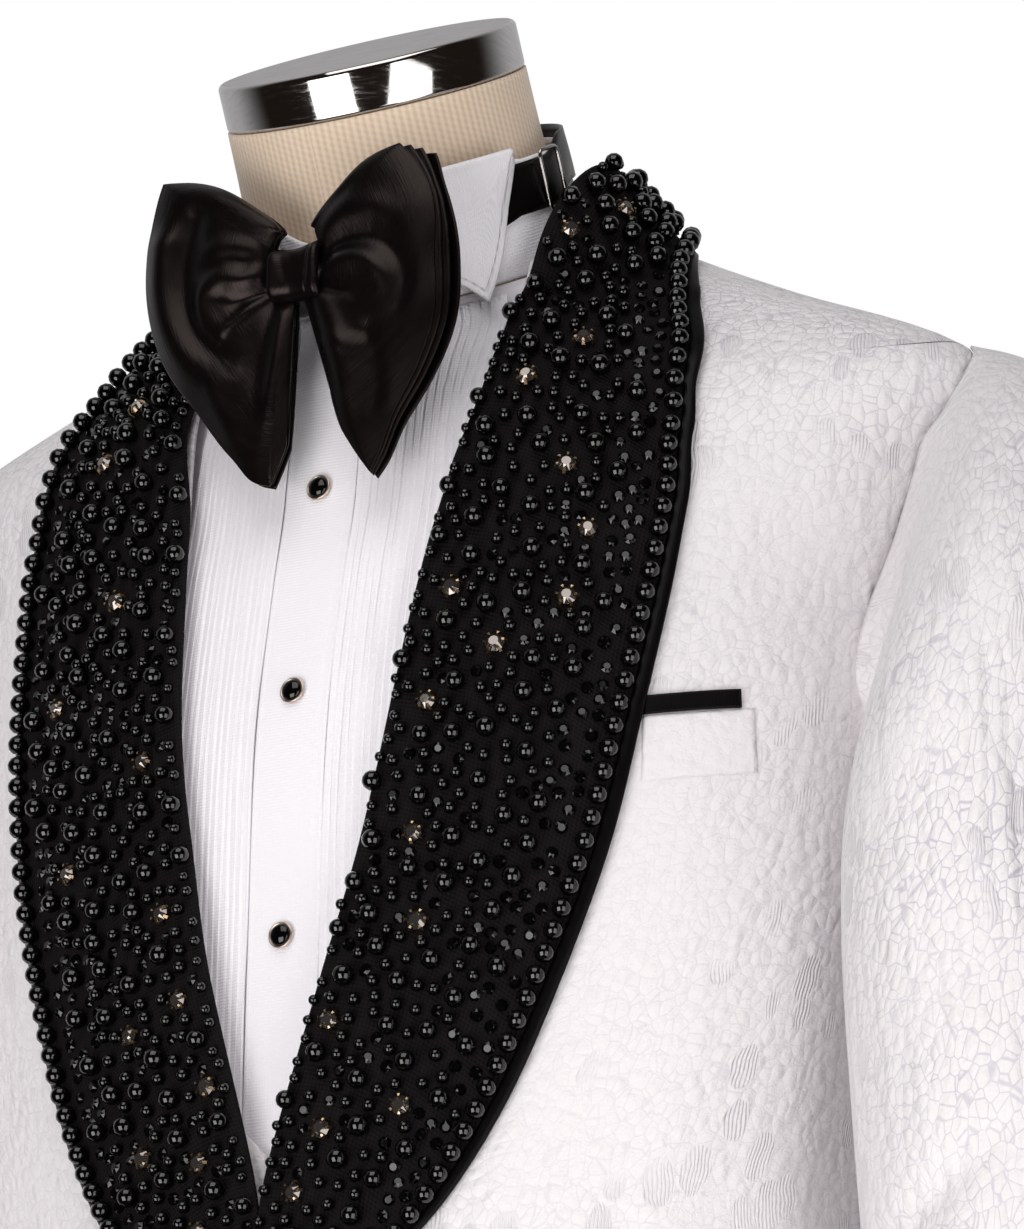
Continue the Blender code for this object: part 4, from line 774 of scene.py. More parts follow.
# %% Wings
# degrees from the centre front, height of the wing's lower edge; the tip is at 46 degrees
WING = np.array(((14.0, 0.036), (30.0, 0.022), (41.0, 0.0120), (46.0, 0.0050), (50.0, 0.0120),
                 (57.0, 0.0260), (68.0, 0.0520)))
WING_START, WING_TIP, WING_END, WING_RADIUS, ROLL = 14.0, 46.0, 68.0, 0.066, 0.0019
degrees = np.unique(np.r_[np.linspace(WING_START, WING_END, 49), WING_TIP])
turns = np.radians(degrees)
low = np.interp(degrees, WING[:, 0], WING[:, 1])
share = np.linspace(0, 1, 26)[:, None]
roll_at = front_top(degrees)
along = low[None, :] * (1 - share) + (roll_at - 0.0005) * share
stand_off = COLLAR_WALL + STRAP_WALL + 0.0022 + 0.0052 * np.clip((0.030 - along) / 0.026, 0, 1) ** 1.5
front = neck_point(along, collar_radius(along, turns[None, :]) + stand_off, turns[None, :])
roll = np.linspace(0, math.pi, 8)[1:, None]
radius = collar_radius(roll_at, turns) + COLLAR_WALL + ROLL * (1 + np.cos(roll)) + 0.0001
over = neck_point(roll_at + ROLL * np.sin(roll), radius, turns[None, :])
points = np.concatenate([front, over])
flat = np.stack(np.broadcast_arrays(WING_RADIUS * turns[None, :], along), -1)
fine = np.linspace(WING_START, WING_END, 600)
lower_edge = np.stack([WING_RADIUS * np.radians(fine), np.interp(fine, WING[:, 0], WING[:, 1])], -1)
inset = np.linalg.norm(flat[:, :, None] - lower_edge, axis=-1).min(-1)
inset = np.concatenate([inset, np.full(over.shape[:2], 0.05)])  # the roll has no stitches


def make_stitched():
    """Shirting with one row of 2 mm stitches 2.2 mm inside the edge; the mark inset is the distance in. The
    stitch groove is tinted lilac-grey in dashes, a painted shade.
    """
    made = SHIRTING.copy()
    made.name = "white cotton shirting, stitched"
    tree = made.node_tree
    shader = tree.nodes["Principled BSDF"]
    old = shader.inputs["Normal"].links[0].from_node
    distance = add(tree, "Attribute", attribute_name="inset", out=2)
    off = add(tree, "Math", {0: distance, 1: 0.0022}, operation="SUBTRACT")
    off = add(tree, "Math", {0: off}, operation="ABSOLUTE")
    groove = add(tree, "MapRange", {"Value": off, 1: 0.0, 2: 0.0006, 3: 1.0, 4: 0.0}, **SOFT)
    uv = add(tree, "UVMap", uv_map="UVMap")
    dash = add(tree, "TexWave", {"Vector": uv, "Scale": RIDGES / 0.0020, "Distortion": 0.0}, out=1)
    gap = add(tree, "Math", {0: dash, 1: 0.5, 2: 0.5}, operation="MULTIPLY_ADD")
    # painted shade: the stitch groove is mixed towards lilac-grey, in dashes along the row
    painted_shade = add(tree, "Math", {0: groove, 1: gap}, operation="MULTIPLY")
    faint = add(tree, "Math", {0: painted_shade, 1: 0.5}, operation="MULTIPLY")
    tinted = add(tree, "Mix", {0: faint, 6: colour("#F6F3F8"), 7: colour("#B8B5C2")}, **BLEND)
    tree.links.new(tinted, shader.inputs["Base Color"])
    top = add(tree, "Bump", {"Height": painted_shade, "Distance": -0.0004, "Normal": old.outputs[0]})
    tree.links.new(top, shader.inputs["Normal"])
    return made


STITCHED = make_stitched()
both_sides("wing_cloth", "shirt_wing", points, material=STITCHED, slot="shirting", wall=0.0010, held="folded",
           rests_on=["collar_stand_cloth"], marks={"inset": inset})

# %% [markdown]
# A dress stud is a black stone in a rolled metal rim; the collar button is turned from shell. All of them
# could be spheres pressed flat, but a turned profile keeps the thin rim and the stone's own edge.

# %% Studs and collar button
for number, level in enumerate((1.3790, 1.2805, 1.1880), 1):
    seat = body(0.0, level, PLACKET_LOW + 0.0022 + 2 * SEAM)
    axis = outward(np.array(0.0), np.array(level))
    dome = [(0.0041 * math.sin(b), 0.0010 + 0.0022 * math.cos(b)) for b in np.linspace(math.pi / 2, 0.03, 12)]
    stone = turned(f"stud_stone_{number}", [(0.0040, 0.0002)] + dome, seat, axis, 40)
    settle(stone, ENAMEL, [f"stud_{number}"])
    rim = [(0.0045 + 0.0005 * math.cos(b), 0.0008 + 0.0006 * math.sin(b)) for b in np.linspace(-2.2, 2.4, 12)]
    settle(turned(f"stud_rim_{number}", [(0.0037, 0.0001)] + rim + [(0.0039, 0.0011)], seat, axis, 48), RIM)
seat = neck_point(0.0150, collar_radius(0.0185, 0.0) + COLLAR_WALL + 0.0007, 0.0)
profile = [(0.0050, 0.0), (0.0055, 0.0006), (0.0055, 0.0014), (0.0050, 0.0021), (0.0042, 0.0021),
           (0.0036, 0.0015), (0.0016, 0.0013), (0.0002, 0.0013)]
settle(turned("collar_button_pearl", profile, seat, (0.0, -0.93, -0.36), 48), SHELL_BUTTON,
       ["shirt_collar_button"])

# %% [markdown]
# ## Waistcoat and trousers
# Little of them shows from the front, but they are finished like the rest. The trousers are a front and
# a back for each leg, pressed along the middle of each panel.

# %% Waistcoat
levels = rows_between(0.985, 1.446, 34)
edge_x = np.interp(levels, (0.985, 1.02, 1.105, 1.122, 1.145, 1.18, 1.22, 1.30, 1.38, 1.446),
                   (0.014, 0.0004, 0.0004, 0.0180, 0.046, 0.076, 0.090, 0.099, 0.100, 0.086))
near = turn_at_x(edge_x, levels, WAISTCOAT_INNER)


def waistcoat_front(turn, level):
    """Outer face of a front; it stands off a little more at its opening."""
    x = skin(turn, level)[..., 0]
    return WAISTCOAT_INNER + WALL + WAISTCOAT_EDGE * step((0.090 - x) / 0.030) * step((level - 1.09) / 0.015)


def waistcoat_back(turn, level):
    """Outer face of the back; it lies a little closer above the waist."""
    return WAISTCOAT_INNER + WALL - WAISTCOAT_EDGE * step((level - 1.13) / 0.1)


points, uv = panel(levels, near, side_limit(levels, ARM_FRONT, -SEAM_TURN), 30, waistcoat_front)
both_sides("waistcoat_front_cloth", "waistcoat_front", points, uv, material=JACQUARD, slot="jacquard",
           rests_on=["shirt_front_cloth_left", "shirt_front_cloth_right"])
points, uv = whole_back(levels, 24, waistcoat_back)
cloth("waistcoat_back_cloth", points, SATIN, "satin", ["waistcoat_back"], uv=uv,
      rests_on=["shirt_back_cloth"])

# %% Trousers
LEG = np.array((  # z, mid_x, mid_y, half_x, half_y
    (0.757, 0.0885, 0.001, 0.0845, 0.1030), (0.690, 0.0900, 0.000, 0.0810, 0.0960),
    (0.600, 0.0920, -0.002, 0.0770, 0.0900), (0.480, 0.0940, -0.004, 0.0720, 0.0830),
    (0.300, 0.0940, -0.002, 0.0650, 0.0740), (0.150, 0.0930, 0.002, 0.0610, 0.0690),
    (0.045, 0.0920, 0.004, 0.0590, 0.0670)))
TROUSER_WALL = 0.0016
TROUSER = 0.0030 + TROUSER_WALL
TROUSER_FOLDS = (  # across from the panel's middle in units of 60 degrees, down in metres
    ((-1.2, 0.90), (0.9, 0.955), 0.010, 0.004), ((-0.8, 0.56), (1.1, 0.50), 0.016, -0.003),
    ((1.2, 0.22), (-0.6, 0.34), 0.014, -0.004))


def leg_arc(row, degrees):
    """Half an ellipse of a leg section, by angle from the front."""
    z, mid_x, mid_y, half_x, half_y = row
    angle = np.radians(degrees)
    return np.stack([mid_x + (half_x + TROUSER_WALL) * np.sin(angle),
                     mid_y - (half_y + TROUSER_WALL) * np.cos(angle), np.full(angle.shape, z)], -1)


# %% Trouser panels
def trouser_panel(turn_near, turn_far, leg_near, leg_far, columns=41):
    """Torso rows, two rows that blend into the leg, then leg rows; a cubic curve down each column and a
    pressed crease, a narrow bell, along the middle."""
    turns, degrees = np.linspace(turn_near, turn_far, columns), np.linspace(leg_near, leg_far, columns)
    rows = [body(np.radians(turns), level, TROUSER) for level in (1.018, 0.960, 0.890, 0.830, 0.800)]
    thigh = leg_arc(LEG[0], degrees)
    for z, share in ((0.783, 0.33), (0.768, 0.66)):
        row = rows[4] * (1 - share) + thigh * share
        row[:, 2] = z
        rows.append(row)
    rows = np.array(rows + [leg_arc(row, degrees) for row in LEG])
    drop = arcs(rows[:, columns // 2], 0)
    at = np.linspace(0, drop[-1], 130)
    grid = down_columns(drop, rows, at)
    middle = (degrees - (leg_near + leg_far) / 2)[None, :]
    down = step((at[:, None] - 0.10) / 0.12)
    ahead = -1 if leg_near < 0 else 1
    grid[..., 1] += ahead * 0.0045 * np.exp(-(middle / 6.0) ** 2) * down
    grid[..., 1] += ahead * folds(middle / 60, at[:, None], TROUSER_FOLDS)
    grid[..., 0] = np.maximum(grid[..., 0], np.where(at[:, None] < 0.20, 0.0003, 0.0012))
    return grid


front_grid = trouser_panel(0.0, 89.85, -89.85, 89.85)
back_grid = trouser_panel(90.15, 180.0, 90.15, 269.85)
for name, grid in (("trouser_front", front_grid), ("trouser_back", back_grid)):
    both_sides(name + "_cloth", name, grid[::-1], material=WOOL, slot="black_wool", wall=TROUSER_WALL,
               held="hung", rests_on=["waistband_cloth"])
braid = front_grid[::-1, -6:] + (0.0007, 0.0, 0.0)
for side, stripe in (("left", braid), ("right", mirrored(braid))):
    cloth("side_braid_" + side, stripe, BINDING, "satin", wall=0.0006, held="hung",
          rests_on=["trouser_front_cloth_" + side])
turns = np.linspace(0.002, 2 * math.pi - 0.002, 121)
points = body(turns[None, :], np.linspace(1.0183, 1.0480, 8)[:, None], TROUSER)
cloth("waistband_cloth", points, SATIN, "satin", ["trouser_waistband"], wall=TROUSER_WALL, held="folded",
      rests_on=["padded_torso"])

# %% [markdown]
# ## The jacket
# Two fronts, two backs and two sleeves. Draping could be simulated, but this cloth is stiff and lies
# close to the form, so its few soft folds are listed one by one: long drops from the chest and the hip, and
# drag lines in the sleeve.

# %% The collar's lines on the front and the front edge
LAPEL_FRONT = np.array((  # inner level, inner x, outer level, outer x
    (1.044, 0.0006, 1.040, 0.0120), (1.062, 0.0006, 1.058, 0.0440), (1.084, 0.0008, 1.077, 0.0640),
    (1.107, 0.0062, 1.098, 0.0780), (1.134, 0.0138, 1.125, 0.0915), (1.163, 0.0223, 1.155, 0.1027),
    (1.192, 0.0300, 1.186, 0.1128), (1.222, 0.0370, 1.218, 0.1216), (1.253, 0.0432, 1.250, 0.1274),
    (1.286, 0.0475, 1.284, 0.1328), (1.319, 0.0510, 1.318, 0.1372), (1.350, 0.0544, 1.350, 0.1400),
    (1.380, 0.0572, 1.378, 0.1405), (1.408, 0.0606, 1.400, 0.1378), (1.432, 0.0650, 1.4185, 0.1320)))


def front_edge_x(levels, lap):
    """Front edge: under the roll of the collar, across the centre where it closes, then cut away."""
    inner = smooth(LAPEL_FRONT[:, 0], LAPEL_FRONT[:, 1] + 0.0030, levels)
    below = np.interp(levels, (0.735, 0.80, 0.87, 0.94, 1.00, 1.02, 1.034, 1.050, 1.084),
                      (0.092, 0.060, 0.030, 0.004, -lap, -lap, -lap * 0.6, 0.0009, 0.0036))
    return np.where(levels < 1.084, below, inner)


# %% Folds and room of the jacket
# place round the torso in metres and level: start, end, width, height, bow
FRONT_FOLDS = (((0.235, 1.25), (0.215, 0.76), 0.020, -0.0035),
               ((0.170, 1.20), (0.150, 0.80), 0.016, 0.0022, 0.01),
               ((0.120, 1.06), (0.250, 1.01), 0.012, -0.0020))
BACK_FOLDS = (((0.400, 1.34), (0.430, 0.86), 0.022, -0.0028), ((0.345, 1.30), (0.330, 0.80), 0.018, 0.0020))


def front_drape(turn, level):
    """Soft vertical drops below the chest, and 7 mm of room where the cloth bridges from chest to sleeve."""
    sink = folds(turn * MEAN_RADIUS, level, FRONT_FOLDS)
    bridge = 0.0070 * np.exp(-((turn - 1.26) / 0.26) ** 2)
    bridge = bridge * step((level - 0.95) / 0.12) * step((1.325 - level) / 0.07)
    return (sink + bridge) * step((turn - 0.35) / 0.3) * step((math.radians(96) - turn) / 0.16)


def armhole_fill(turn, level):
    """Room in front of the armhole: the cloth bridges from the chest to the sleeve there, a bell of 4 mm
    that ends before the collar; at the shoulder's end it lies 2.4 mm closer."""
    place = skin(turn, level)
    x, y = np.abs(place[..., 0]), place[..., 1]
    spread = np.where(y < ARM_FRONT, 0.035, 0.020)
    beside = np.exp(-((y - ARM_FRONT) / spread) ** 2) * step((x - 0.155) / 0.030)
    close = np.exp(-((level - 1.404) / 0.014) ** 2) * np.clip(np.sin(turn), 0, 1) ** 6
    return 0.0040 * beside * np.exp(-((level - 1.338) / 0.030) ** 2) - 0.0024 * close


def seam_shift(level):
    """How far the front's seam with the sleeve lies behind the armhole's oval: the head eases it back above
    the middle, the shoulder and the underarm draw it forward."""
    return np.radians(smooth((1.2515, 1.262, 1.278, 1.295, 1.315, 1.333, 1.351, 1.364, 1.385, 1.396, 1.4045),
                             (0.0, -6.0, -6.2, -3.0, 0.6, 2.4, 2.4, 1.3, -2.0, -2.6, 0.0), level))


# %% Jacket fronts
def front_face(lifted):
    """Height of a front's outer face above the torso."""
    def out(turn, level):
        lift = lap_lift(turn, level) if lifted else 0.0
        fill = armhole_fill(turn, level)
        return JACKET_INNER + WALL + jacket_ease(turn, level) + lift + fill + front_drape(turn, level)
    return out


levels = rows_between(HEM, NECKLINE, 84)
for side, lap in (("left", 0.018), ("right", 0.016)):
    near = turn_at_x(front_edge_x(levels, lap), levels, JACKET_INNER)
    tuck = 0.012 * step((ARM_HALF - np.abs(levels - ARM_LEVEL)) / 0.006)
    far = side_limit(levels, ARM_FRONT, -SEAM_TURN) + seam_shift(levels) + tuck
    points, _ = panel(levels, near, far, 72, front_face(side == "left"))
    uv = fair_uv(points)
    if side == "right":
        points, uv = mirrored(points), uv[:, ::-1] * (-1, 1)
    # the pucker mark sets both the relief of the puckers and the painted shade on the jacquard's lines
    cloth("jacket_front_cloth_" + side, points, JACQUARD, "jacquard", ["jacket_front_" + side], uv=uv,
          marks={"pucker_and_shade": 0.25 + 0.35 * step((levels[:, None] - 1.35) / 0.06)},
          rests_on=["waistcoat_front_cloth_" + side])


# %% Jacket backs
def back_face(turn, level):
    """Outer face of a back, with a hollow beside the centre seam and a drop from the shoulder blade."""
    sink = folds(turn * MEAN_RADIUS, level, BACK_FOLDS)
    edge = step((turn - math.radians(101)) / 0.06) * step((math.radians(178.5) - turn) / 0.06)
    return JACKET_INNER + WALL + jacket_ease(turn, level) + armhole_fill(turn, level) + sink * edge


near = side_limit(levels, ARM_BACK, SEAM_TURN) - 0.004 * (levels > ARM_TOP)
points, _ = panel(levels, near, np.full(len(levels), math.pi - SEAM_TURN), 50, back_face)
both_sides("jacket_back_cloth", "jacket_back", points, fair_uv(points, True), material=JACQUARD,
           slot="jacquard", marks={"pucker_and_shade": 0.25}, rests_on=["waistcoat_back_cloth"])

# %% [markdown]
# A sleeve is a tube: a ring on the armhole's oval, then rings whose over and under points, depth and
# middle come from a table. A cubic curve down each column gives the rings between.

# %% Sleeve sections
SLEEVE = np.array((  # over_x, over_z, under_x, under_z, half_depth, mid_y
    (0.2400, 1.401, 0.1985, 1.2440, 0.0500, 0.0030), (0.2640, 1.386, 0.2000, 1.2360, 0.0620, -0.0100),
    (0.2890, 1.353, 0.2005, 1.2220, 0.0735, -0.0250), (0.3080, 1.305, 0.2005, 1.2000, 0.0805, -0.0365),
    (0.3170, 1.240, 0.2005, 1.1650, 0.0800, -0.0410), (0.3220, 1.160, 0.2030, 1.1100, 0.0750, -0.0430),
    (0.3250, 1.065, 0.2090, 1.0400, 0.0695, -0.0465), (0.3240, 0.930, 0.2220, 0.9250, 0.060, -0.054),
    (0.3200, 0.792, 0.2310, 0.7920, 0.054, -0.070)))
AROUND = 96
angle = full_turn(AROUND)
up, ahead = np.cos(angle), np.sin(angle)
level = ARM_LEVEL + ARM_HALF * 0.985 * up
turn = armhole_turn(level, np.where(ahead > 0, ARM_FRONT, ARM_BACK))
turn = turn + np.where(ahead > 1e-9, seam_shift(level), 0.0)
seat = JACKET_INNER + WALL + jacket_ease(turn, level) + armhole_fill(turn, level)
coarse = [body(turn, level, seat + 0.0004)]
for over_x, over_z, under_x, under_z, half_depth, mid_y in SLEEVE:
    mid = np.array([(over_x + under_x) / 2, mid_y, (over_z + under_z) / 2])
    reach = np.array([(over_x - under_x) / 2, 0.0, (over_z - under_z) / 2])
    reach *= 1 + WALL / np.linalg.norm(reach)
    coarse.append(mid + up[:, None] * reach + ahead[:, None] * np.array([0.0, -half_depth - WALL, 0.0]))
coarse = np.array(coarse)
run = arcs(coarse.mean(1), 0)
at = np.linspace(0, run[-1], 170)
tube = down_columns(run, coarse, at)
across = np.roll(tube, -1, 1) - np.roll(tube, 1, 1)
along = np.gradient(tube, axis=0)
normal = unit(np.cross(along, across))
centre = tube.mean(1, keepdims=True)
normal *= np.sign(np.sum(normal * (tube - centre), -1, keepdims=True))

# %% Sleeve folds
# metres round from the outside, + to the front, and metres down: start, end, width, height, bow
SLEEVE_FOLDS = (
    ((0.060, 0.06), (0.020, 0.22), 0.009, -0.0040), ((0.090, 0.10), (0.050, 0.30), 0.011, -0.0045),
    ((0.035, 0.05), (-0.01, 0.50), 0.013, 0.0035, 0.012),
    ((0.000, 0.10), (0.030, 0.54), 0.011, -0.0030, -0.01),
    ((0.200, 0.33), (0.090, 0.28), 0.010, -0.0055), ((0.210, 0.37), (0.080, 0.36), 0.011, -0.0060),
    ((0.130, 0.40), (0.060, 0.47), 0.010, -0.0035), ((-0.06, 0.10), (-0.05, 0.50), 0.014, -0.0035),
    ((-0.15, 0.30), (-0.05, 0.36), 0.012, -0.0040))
u = ((angle + math.pi) % (2 * math.pi) - math.pi)[None, :] * 0.075
v = at[:, None]
crease = folds(u, v, SLEEVE_FOLDS)
hang = 0.0012 * np.sin(u / 0.0032 + 2.2 * np.sin(v * 21)) * step((v - 0.08) / 0.1) * np.exp(-(u / 0.07) ** 2)
hold = step(v / 0.06) * step((run[-1] - v) / 0.03)
tube = tube + normal * ((crease + hang) * hold)[..., None]
around = np.linspace(0, 2 * math.pi, AROUND + 1) * 0.072
ring_uv = np.stack(np.broadcast_arrays(around[None, :], 1.4 - at[:, None]), -1)
# the pucker mark, highest down the outside of the sleeve, sets the puckers' relief and the painted shade on
# the lines
pucker_and_shade = 0.35 + 0.65 * step((v - 0.03) / 0.1) * np.exp(-(u / 0.11) ** 2)
for side in ("left", "right"):
    grid, uv_grid, marks = tube[:, ::-1], ring_uv[:, ::-1], pucker_and_shade[:, ::-1]
    if side == "right":
        grid = tube * (-1, 1, 1)
        uv_grid, marks = ring_uv * (-1, 1), pucker_and_shade
    cloth("sleeve_cloth_" + side, grid, JACQUARD, "jacquard", ["jacket_sleeve_" + side], uv=uv_grid,
          closed=True, marks={"pucker_and_shade": marks}, held="hung", wall=0.0010,
          rests_on=["jacket_front_cloth_" + side])

# %% [markdown]
# The breast pocket's welt is a strip of the jacket's own cloth with a satin piping above it. They could be
# cut out of the front, but strips laid on the front's own points follow its curve. One button closes it.

# %% Pocket welt, its satin piping and the closing button
def strip_on_jacket(box, thickness, columns, rows):
    """A strip that lies on the wearer's left front and climbs 0.17 in 1 towards the armhole."""
    (x_low, x_high), (level_low, level_high) = box
    x = np.linspace(x_low, x_high, columns)[None, :]
    level = np.linspace(level_low, level_high, rows)[:, None] + 0.17 * (x - x_low)
    turn = turn_at_x(x, level, JACKET_INNER + WALL)
    cover = jacket_ease(turn, level) + armhole_fill(turn, level) + front_drape(turn, level)
    return body(turn, level, JACKET_INNER + WALL + SEAM + cover + thickness)


grid = strip_on_jacket(((0.1300, 0.1595), (1.2352, 1.2592)), 0.0002, 24, 20)
cloth("welt_cloth", grid, JACQUARD, "jacquard", ["breast_welt"], held="folded", wall=0.0006,
      rests_on=["jacket_front_cloth_left"])
grid = strip_on_jacket(((0.1300, 0.1563), (1.2596, 1.2664)), 0.0016, 24, 10)
cloth("pocket_piping_cloth", grid, BINDING, "satin", ["breast_trim"], wall=0.0015, held="folded",
      rests_on=["jacket_front_cloth_left"])
seat = body(0.0, 1.018, JACKET_INNER + 0.0030 + WALL + SEAM)
profile = [(0.0080, 0.0), (0.0092, 0.0008), (0.0092, 0.0016), (0.0080, 0.0026), (0.0050, 0.0031),
           (0.0003, 0.0033)]
settle(turned("closing_button", profile, seat, outward(np.array(0.0), np.array(1.018)), 48), BINDING,
       ["jacket_button"])

# %% [markdown]
# ## The beaded shawl collar
# One long collar turned back from the fold line, covered with glass beads. Its surface runs between the
# fold line and the outer edge, which are tables of places on the jacket. The fold itself is a small roll
# of cloth, and a satin binding covers the outer edge outside the row of large beads.

# %% Fold line and outer edge
LAPEL_NECK = np.array((  # inner turn, inner level, stand, outer turn, outer level
    (50.0, 1.4545, 0.004, 75.2, 1.4344), (68.0, 1.4590, 0.018, 86.8, 1.4460),
    (86.0, 1.4600, 0.027, 97.0, 1.4490), (110.0, 1.4600, 0.012, 113.0, 1.4500),
    (145.0, 1.4610, 0.006, 146.5, 1.4480), (179.8, 1.4610, 0.004, 179.8, 1.4460)))
inner_level, inner_x, outer_level, outer_x = LAPEL_FRONT.T
front_rows = np.stack([turn_at_x(inner_x, inner_level, JACKET_INNER), inner_level, np.zeros_like(inner_x),
                       turn_at_x(outer_x, outer_level, JACKET_INNER), outer_level], 1)
neck_rows = LAPEL_NECK * (math.pi / 180, 1, 1, math.pi / 180, 1)
LINES = np.vstack([front_rows, neck_rows])
EDGE_RUN = arcs(body(LINES[:, 3], LINES[:, 4], JACKET_INNER), 0)


def even(values, width):
    """Running mean weighted by a bell of the given width in steps, the ends carried on in a straight line."""
    reach = 3 * width
    bell = np.exp(-((np.arange(-reach, reach + 1) / width) ** 2))
    before = 2 * values[0] - values[reach:0:-1]
    after = 2 * values[-1] - values[-2:-reach - 2:-1]
    return np.convolve(np.r_[before, values, after], bell / bell.sum(), "valid")


EVEN_RUN = np.linspace(0, EDGE_RUN[-1], 500)
EVEN_LINES = [even(smooth(EDGE_RUN, LINES[:, k], EVEN_RUN), 13) for k in range(5)]
for at, draw in ((1.371, -0.008), (1.398, -0.024), (1.421, 0.009)):  # draws the outer edge into an even line
    EVEN_LINES[3] += draw * np.exp(-((EVEN_LINES[4] - at) / 0.012) ** 2) * (EVEN_LINES[3] < math.radians(74))


def collar_at(run, w, rise):
    """Point of the collar at a run along its outer edge and a share w from fold line (0) to edge (1)."""
    turn_in, level_in, stand, turn_out, level_out = (np.interp(run, EVEN_RUN, line) for line in EVEN_LINES)
    turn, level = turn_in * (1 - w) + turn_out * w, level_in * (1 - w) + level_out * w
    roll = 0.0010 + 0.0024 * (1 - w**3)
    seat = JACKET_INNER + WALL + jacket_ease(turn, level) + lap_lift(turn, level)
    points = body(turn, level, seat + roll + rise)
    points[..., 2] += stand * (1 - w) ** 1.8
    return points


def collar_normal(run, w):
    """Unit normal of the collar, from its two slopes."""
    d = 0.002
    across = collar_at(run, np.minimum(w + 0.02, 1), WALL) - collar_at(run, np.maximum(w - 0.02, 0), WALL)
    along = collar_at(run + d, w, WALL) - collar_at(run - d, w, WALL)
    return unit(np.cross(across, along))


# %% Collar cloth and its binding
run = np.linspace(0, EDGE_RUN[-1], 230)[:, None]
w = np.linspace(0, 1, 34)[None, :]
face = collar_at(run, w, WALL)
n = collar_normal(run[:, 0], np.zeros_like(run[:, 0]))
out = face[:, 0] - face[:, 1]
out -= np.sum(out * n, -1, keepdims=True) * n
out = unit(out)
tuck = np.linspace(math.pi, 0, 8)[:, None, None]
radius = 0.0015
turned_in = face[:, 0] - n * radius + radius * (n * np.cos(tuck) + out * np.sin(tuck))
under = turned_in[:1] - out * np.array((0.006, 0.003))[:, None, None]
hem = np.concatenate([under, turned_in[:-1]]).transpose(1, 0, 2)
points = np.concatenate([hem, face], 1)
both_sides("collar_cloth", "lapel", points, material=FELT, slot="lapel_cloth", wall=0.0010, held="folded",
           rests_on=["jacket_front_cloth_left", "jacket_front_cloth_right"])
BAND_START = 0.938
shares = np.linspace(BAND_START, 1.0, 8)[None, :]
padding = 0.0005 * np.sin(math.pi * (shares - BAND_START) / (1 - BAND_START))
band = collar_at(run, shares, WALL + 0.0004 + padding)
edge_normal = collar_normal(run[:, 0], np.ones_like(run[:, 0]))
lip = band[:, -1:] - edge_normal[:, None] * np.array((0.0007, 0.0016, 0.0026))[None, :, None]
band = np.concatenate([band, lip], 1)
for side, grid in (("left", band), ("right", mirrored(band))):
    cloth("collar_binding_" + side, grid, BINDING, "satin", wall=0.0005, held="folded",
          rests_on=["collar_cloth_" + side])

# %% [markdown]
# ### Beads
# A few hundred of each kind are copied from one small shape by numpy: a bead's points are turned into
# the cloth's own directions, scaled and moved. Geometry nodes could do it too; plain meshes keep their
# place in any program. Places are thrown at random, and one is kept when it touches no earlier bead.

# %% Bead shapes
def ball(columns=12, rows=6):
    """Unit sphere cut into rows; both poles are closed by small faces."""
    phi = np.linspace(0.20, math.pi - 0.35, rows)[:, None]
    theta = full_turn(columns)[None, :]
    points = np.stack(np.broadcast_arrays(np.sin(phi) * np.cos(theta), np.sin(phi) * np.sin(theta),
                                          np.cos(phi)), -1)
    faces, _, _ = grid_faces(rows, columns, closed=True)
    faces = [list(f)[::-1] for f in faces]
    faces += [list(range(columns)), list(range(rows * columns - columns, rows * columns))[::-1]]
    return points.reshape(-1, 3), faces


def cut_stone(columns=8, table=0.55, crown=0.42, depth=0.5):
    """Cut stone: a flat table, sloping crown facets, a girdle and a shallow back."""
    rings = ((table, crown), (1.0, 0.0), (0.72, -depth * 0.5))
    theta = full_turn(columns)
    points = np.array([[r * math.cos(t + k * math.pi / columns), r * math.sin(t + k * math.pi / columns), h]
                       for k, (r, h) in enumerate(rings) for t in theta])
    faces = []
    for k in range(2):
        a, b = k * columns, (k + 1) * columns
        for c in range(columns):
            d = (c + 1) % columns
            faces += [[a + c, b + c, a + d], [a + d, b + c, b + d]]
    faces += [list(range(columns)), list(range(2 * columns, 3 * columns))[::-1]]
    return points, faces


def claws(count=6):
    """Gold setting: a low cup wall with claws that bend over the stone's edge."""
    points, faces = [], []
    for k in range(count):
        t = 2 * math.pi * k / count
        c, s = math.cos(t), math.sin(t)
        for r, h, half in ((1.02, -0.55, 0.20), (1.16, 0.0, 0.17), (1.02, 0.34, 0.14), (0.78, 0.42, 0.08)):
            for side in (-1, 1):
                for lift in (0.0, 0.14):
                    rr, hh = r + lift * (0.9 if h < 0.3 else 0.3), h + lift * (0.1 if h < 0.3 else 0.9)
                    points.append((rr * c - side * half * s, rr * s + side * half * c, hh))
        a = k * 16
        for q in range(3):
            i, j = a + 4 * q, a + 4 * (q + 1)
            faces += [[i + 1, i + 3, j + 3, j + 1], [i, j, j + 2, i + 2], [i, i + 1, j + 1, j],
                      [i + 2, j + 2, j + 3, i + 3]]
        faces += [[a, a + 2, a + 3, a + 1], [a + 12, a + 13, a + 15, a + 14]]
    return np.array(points), faces


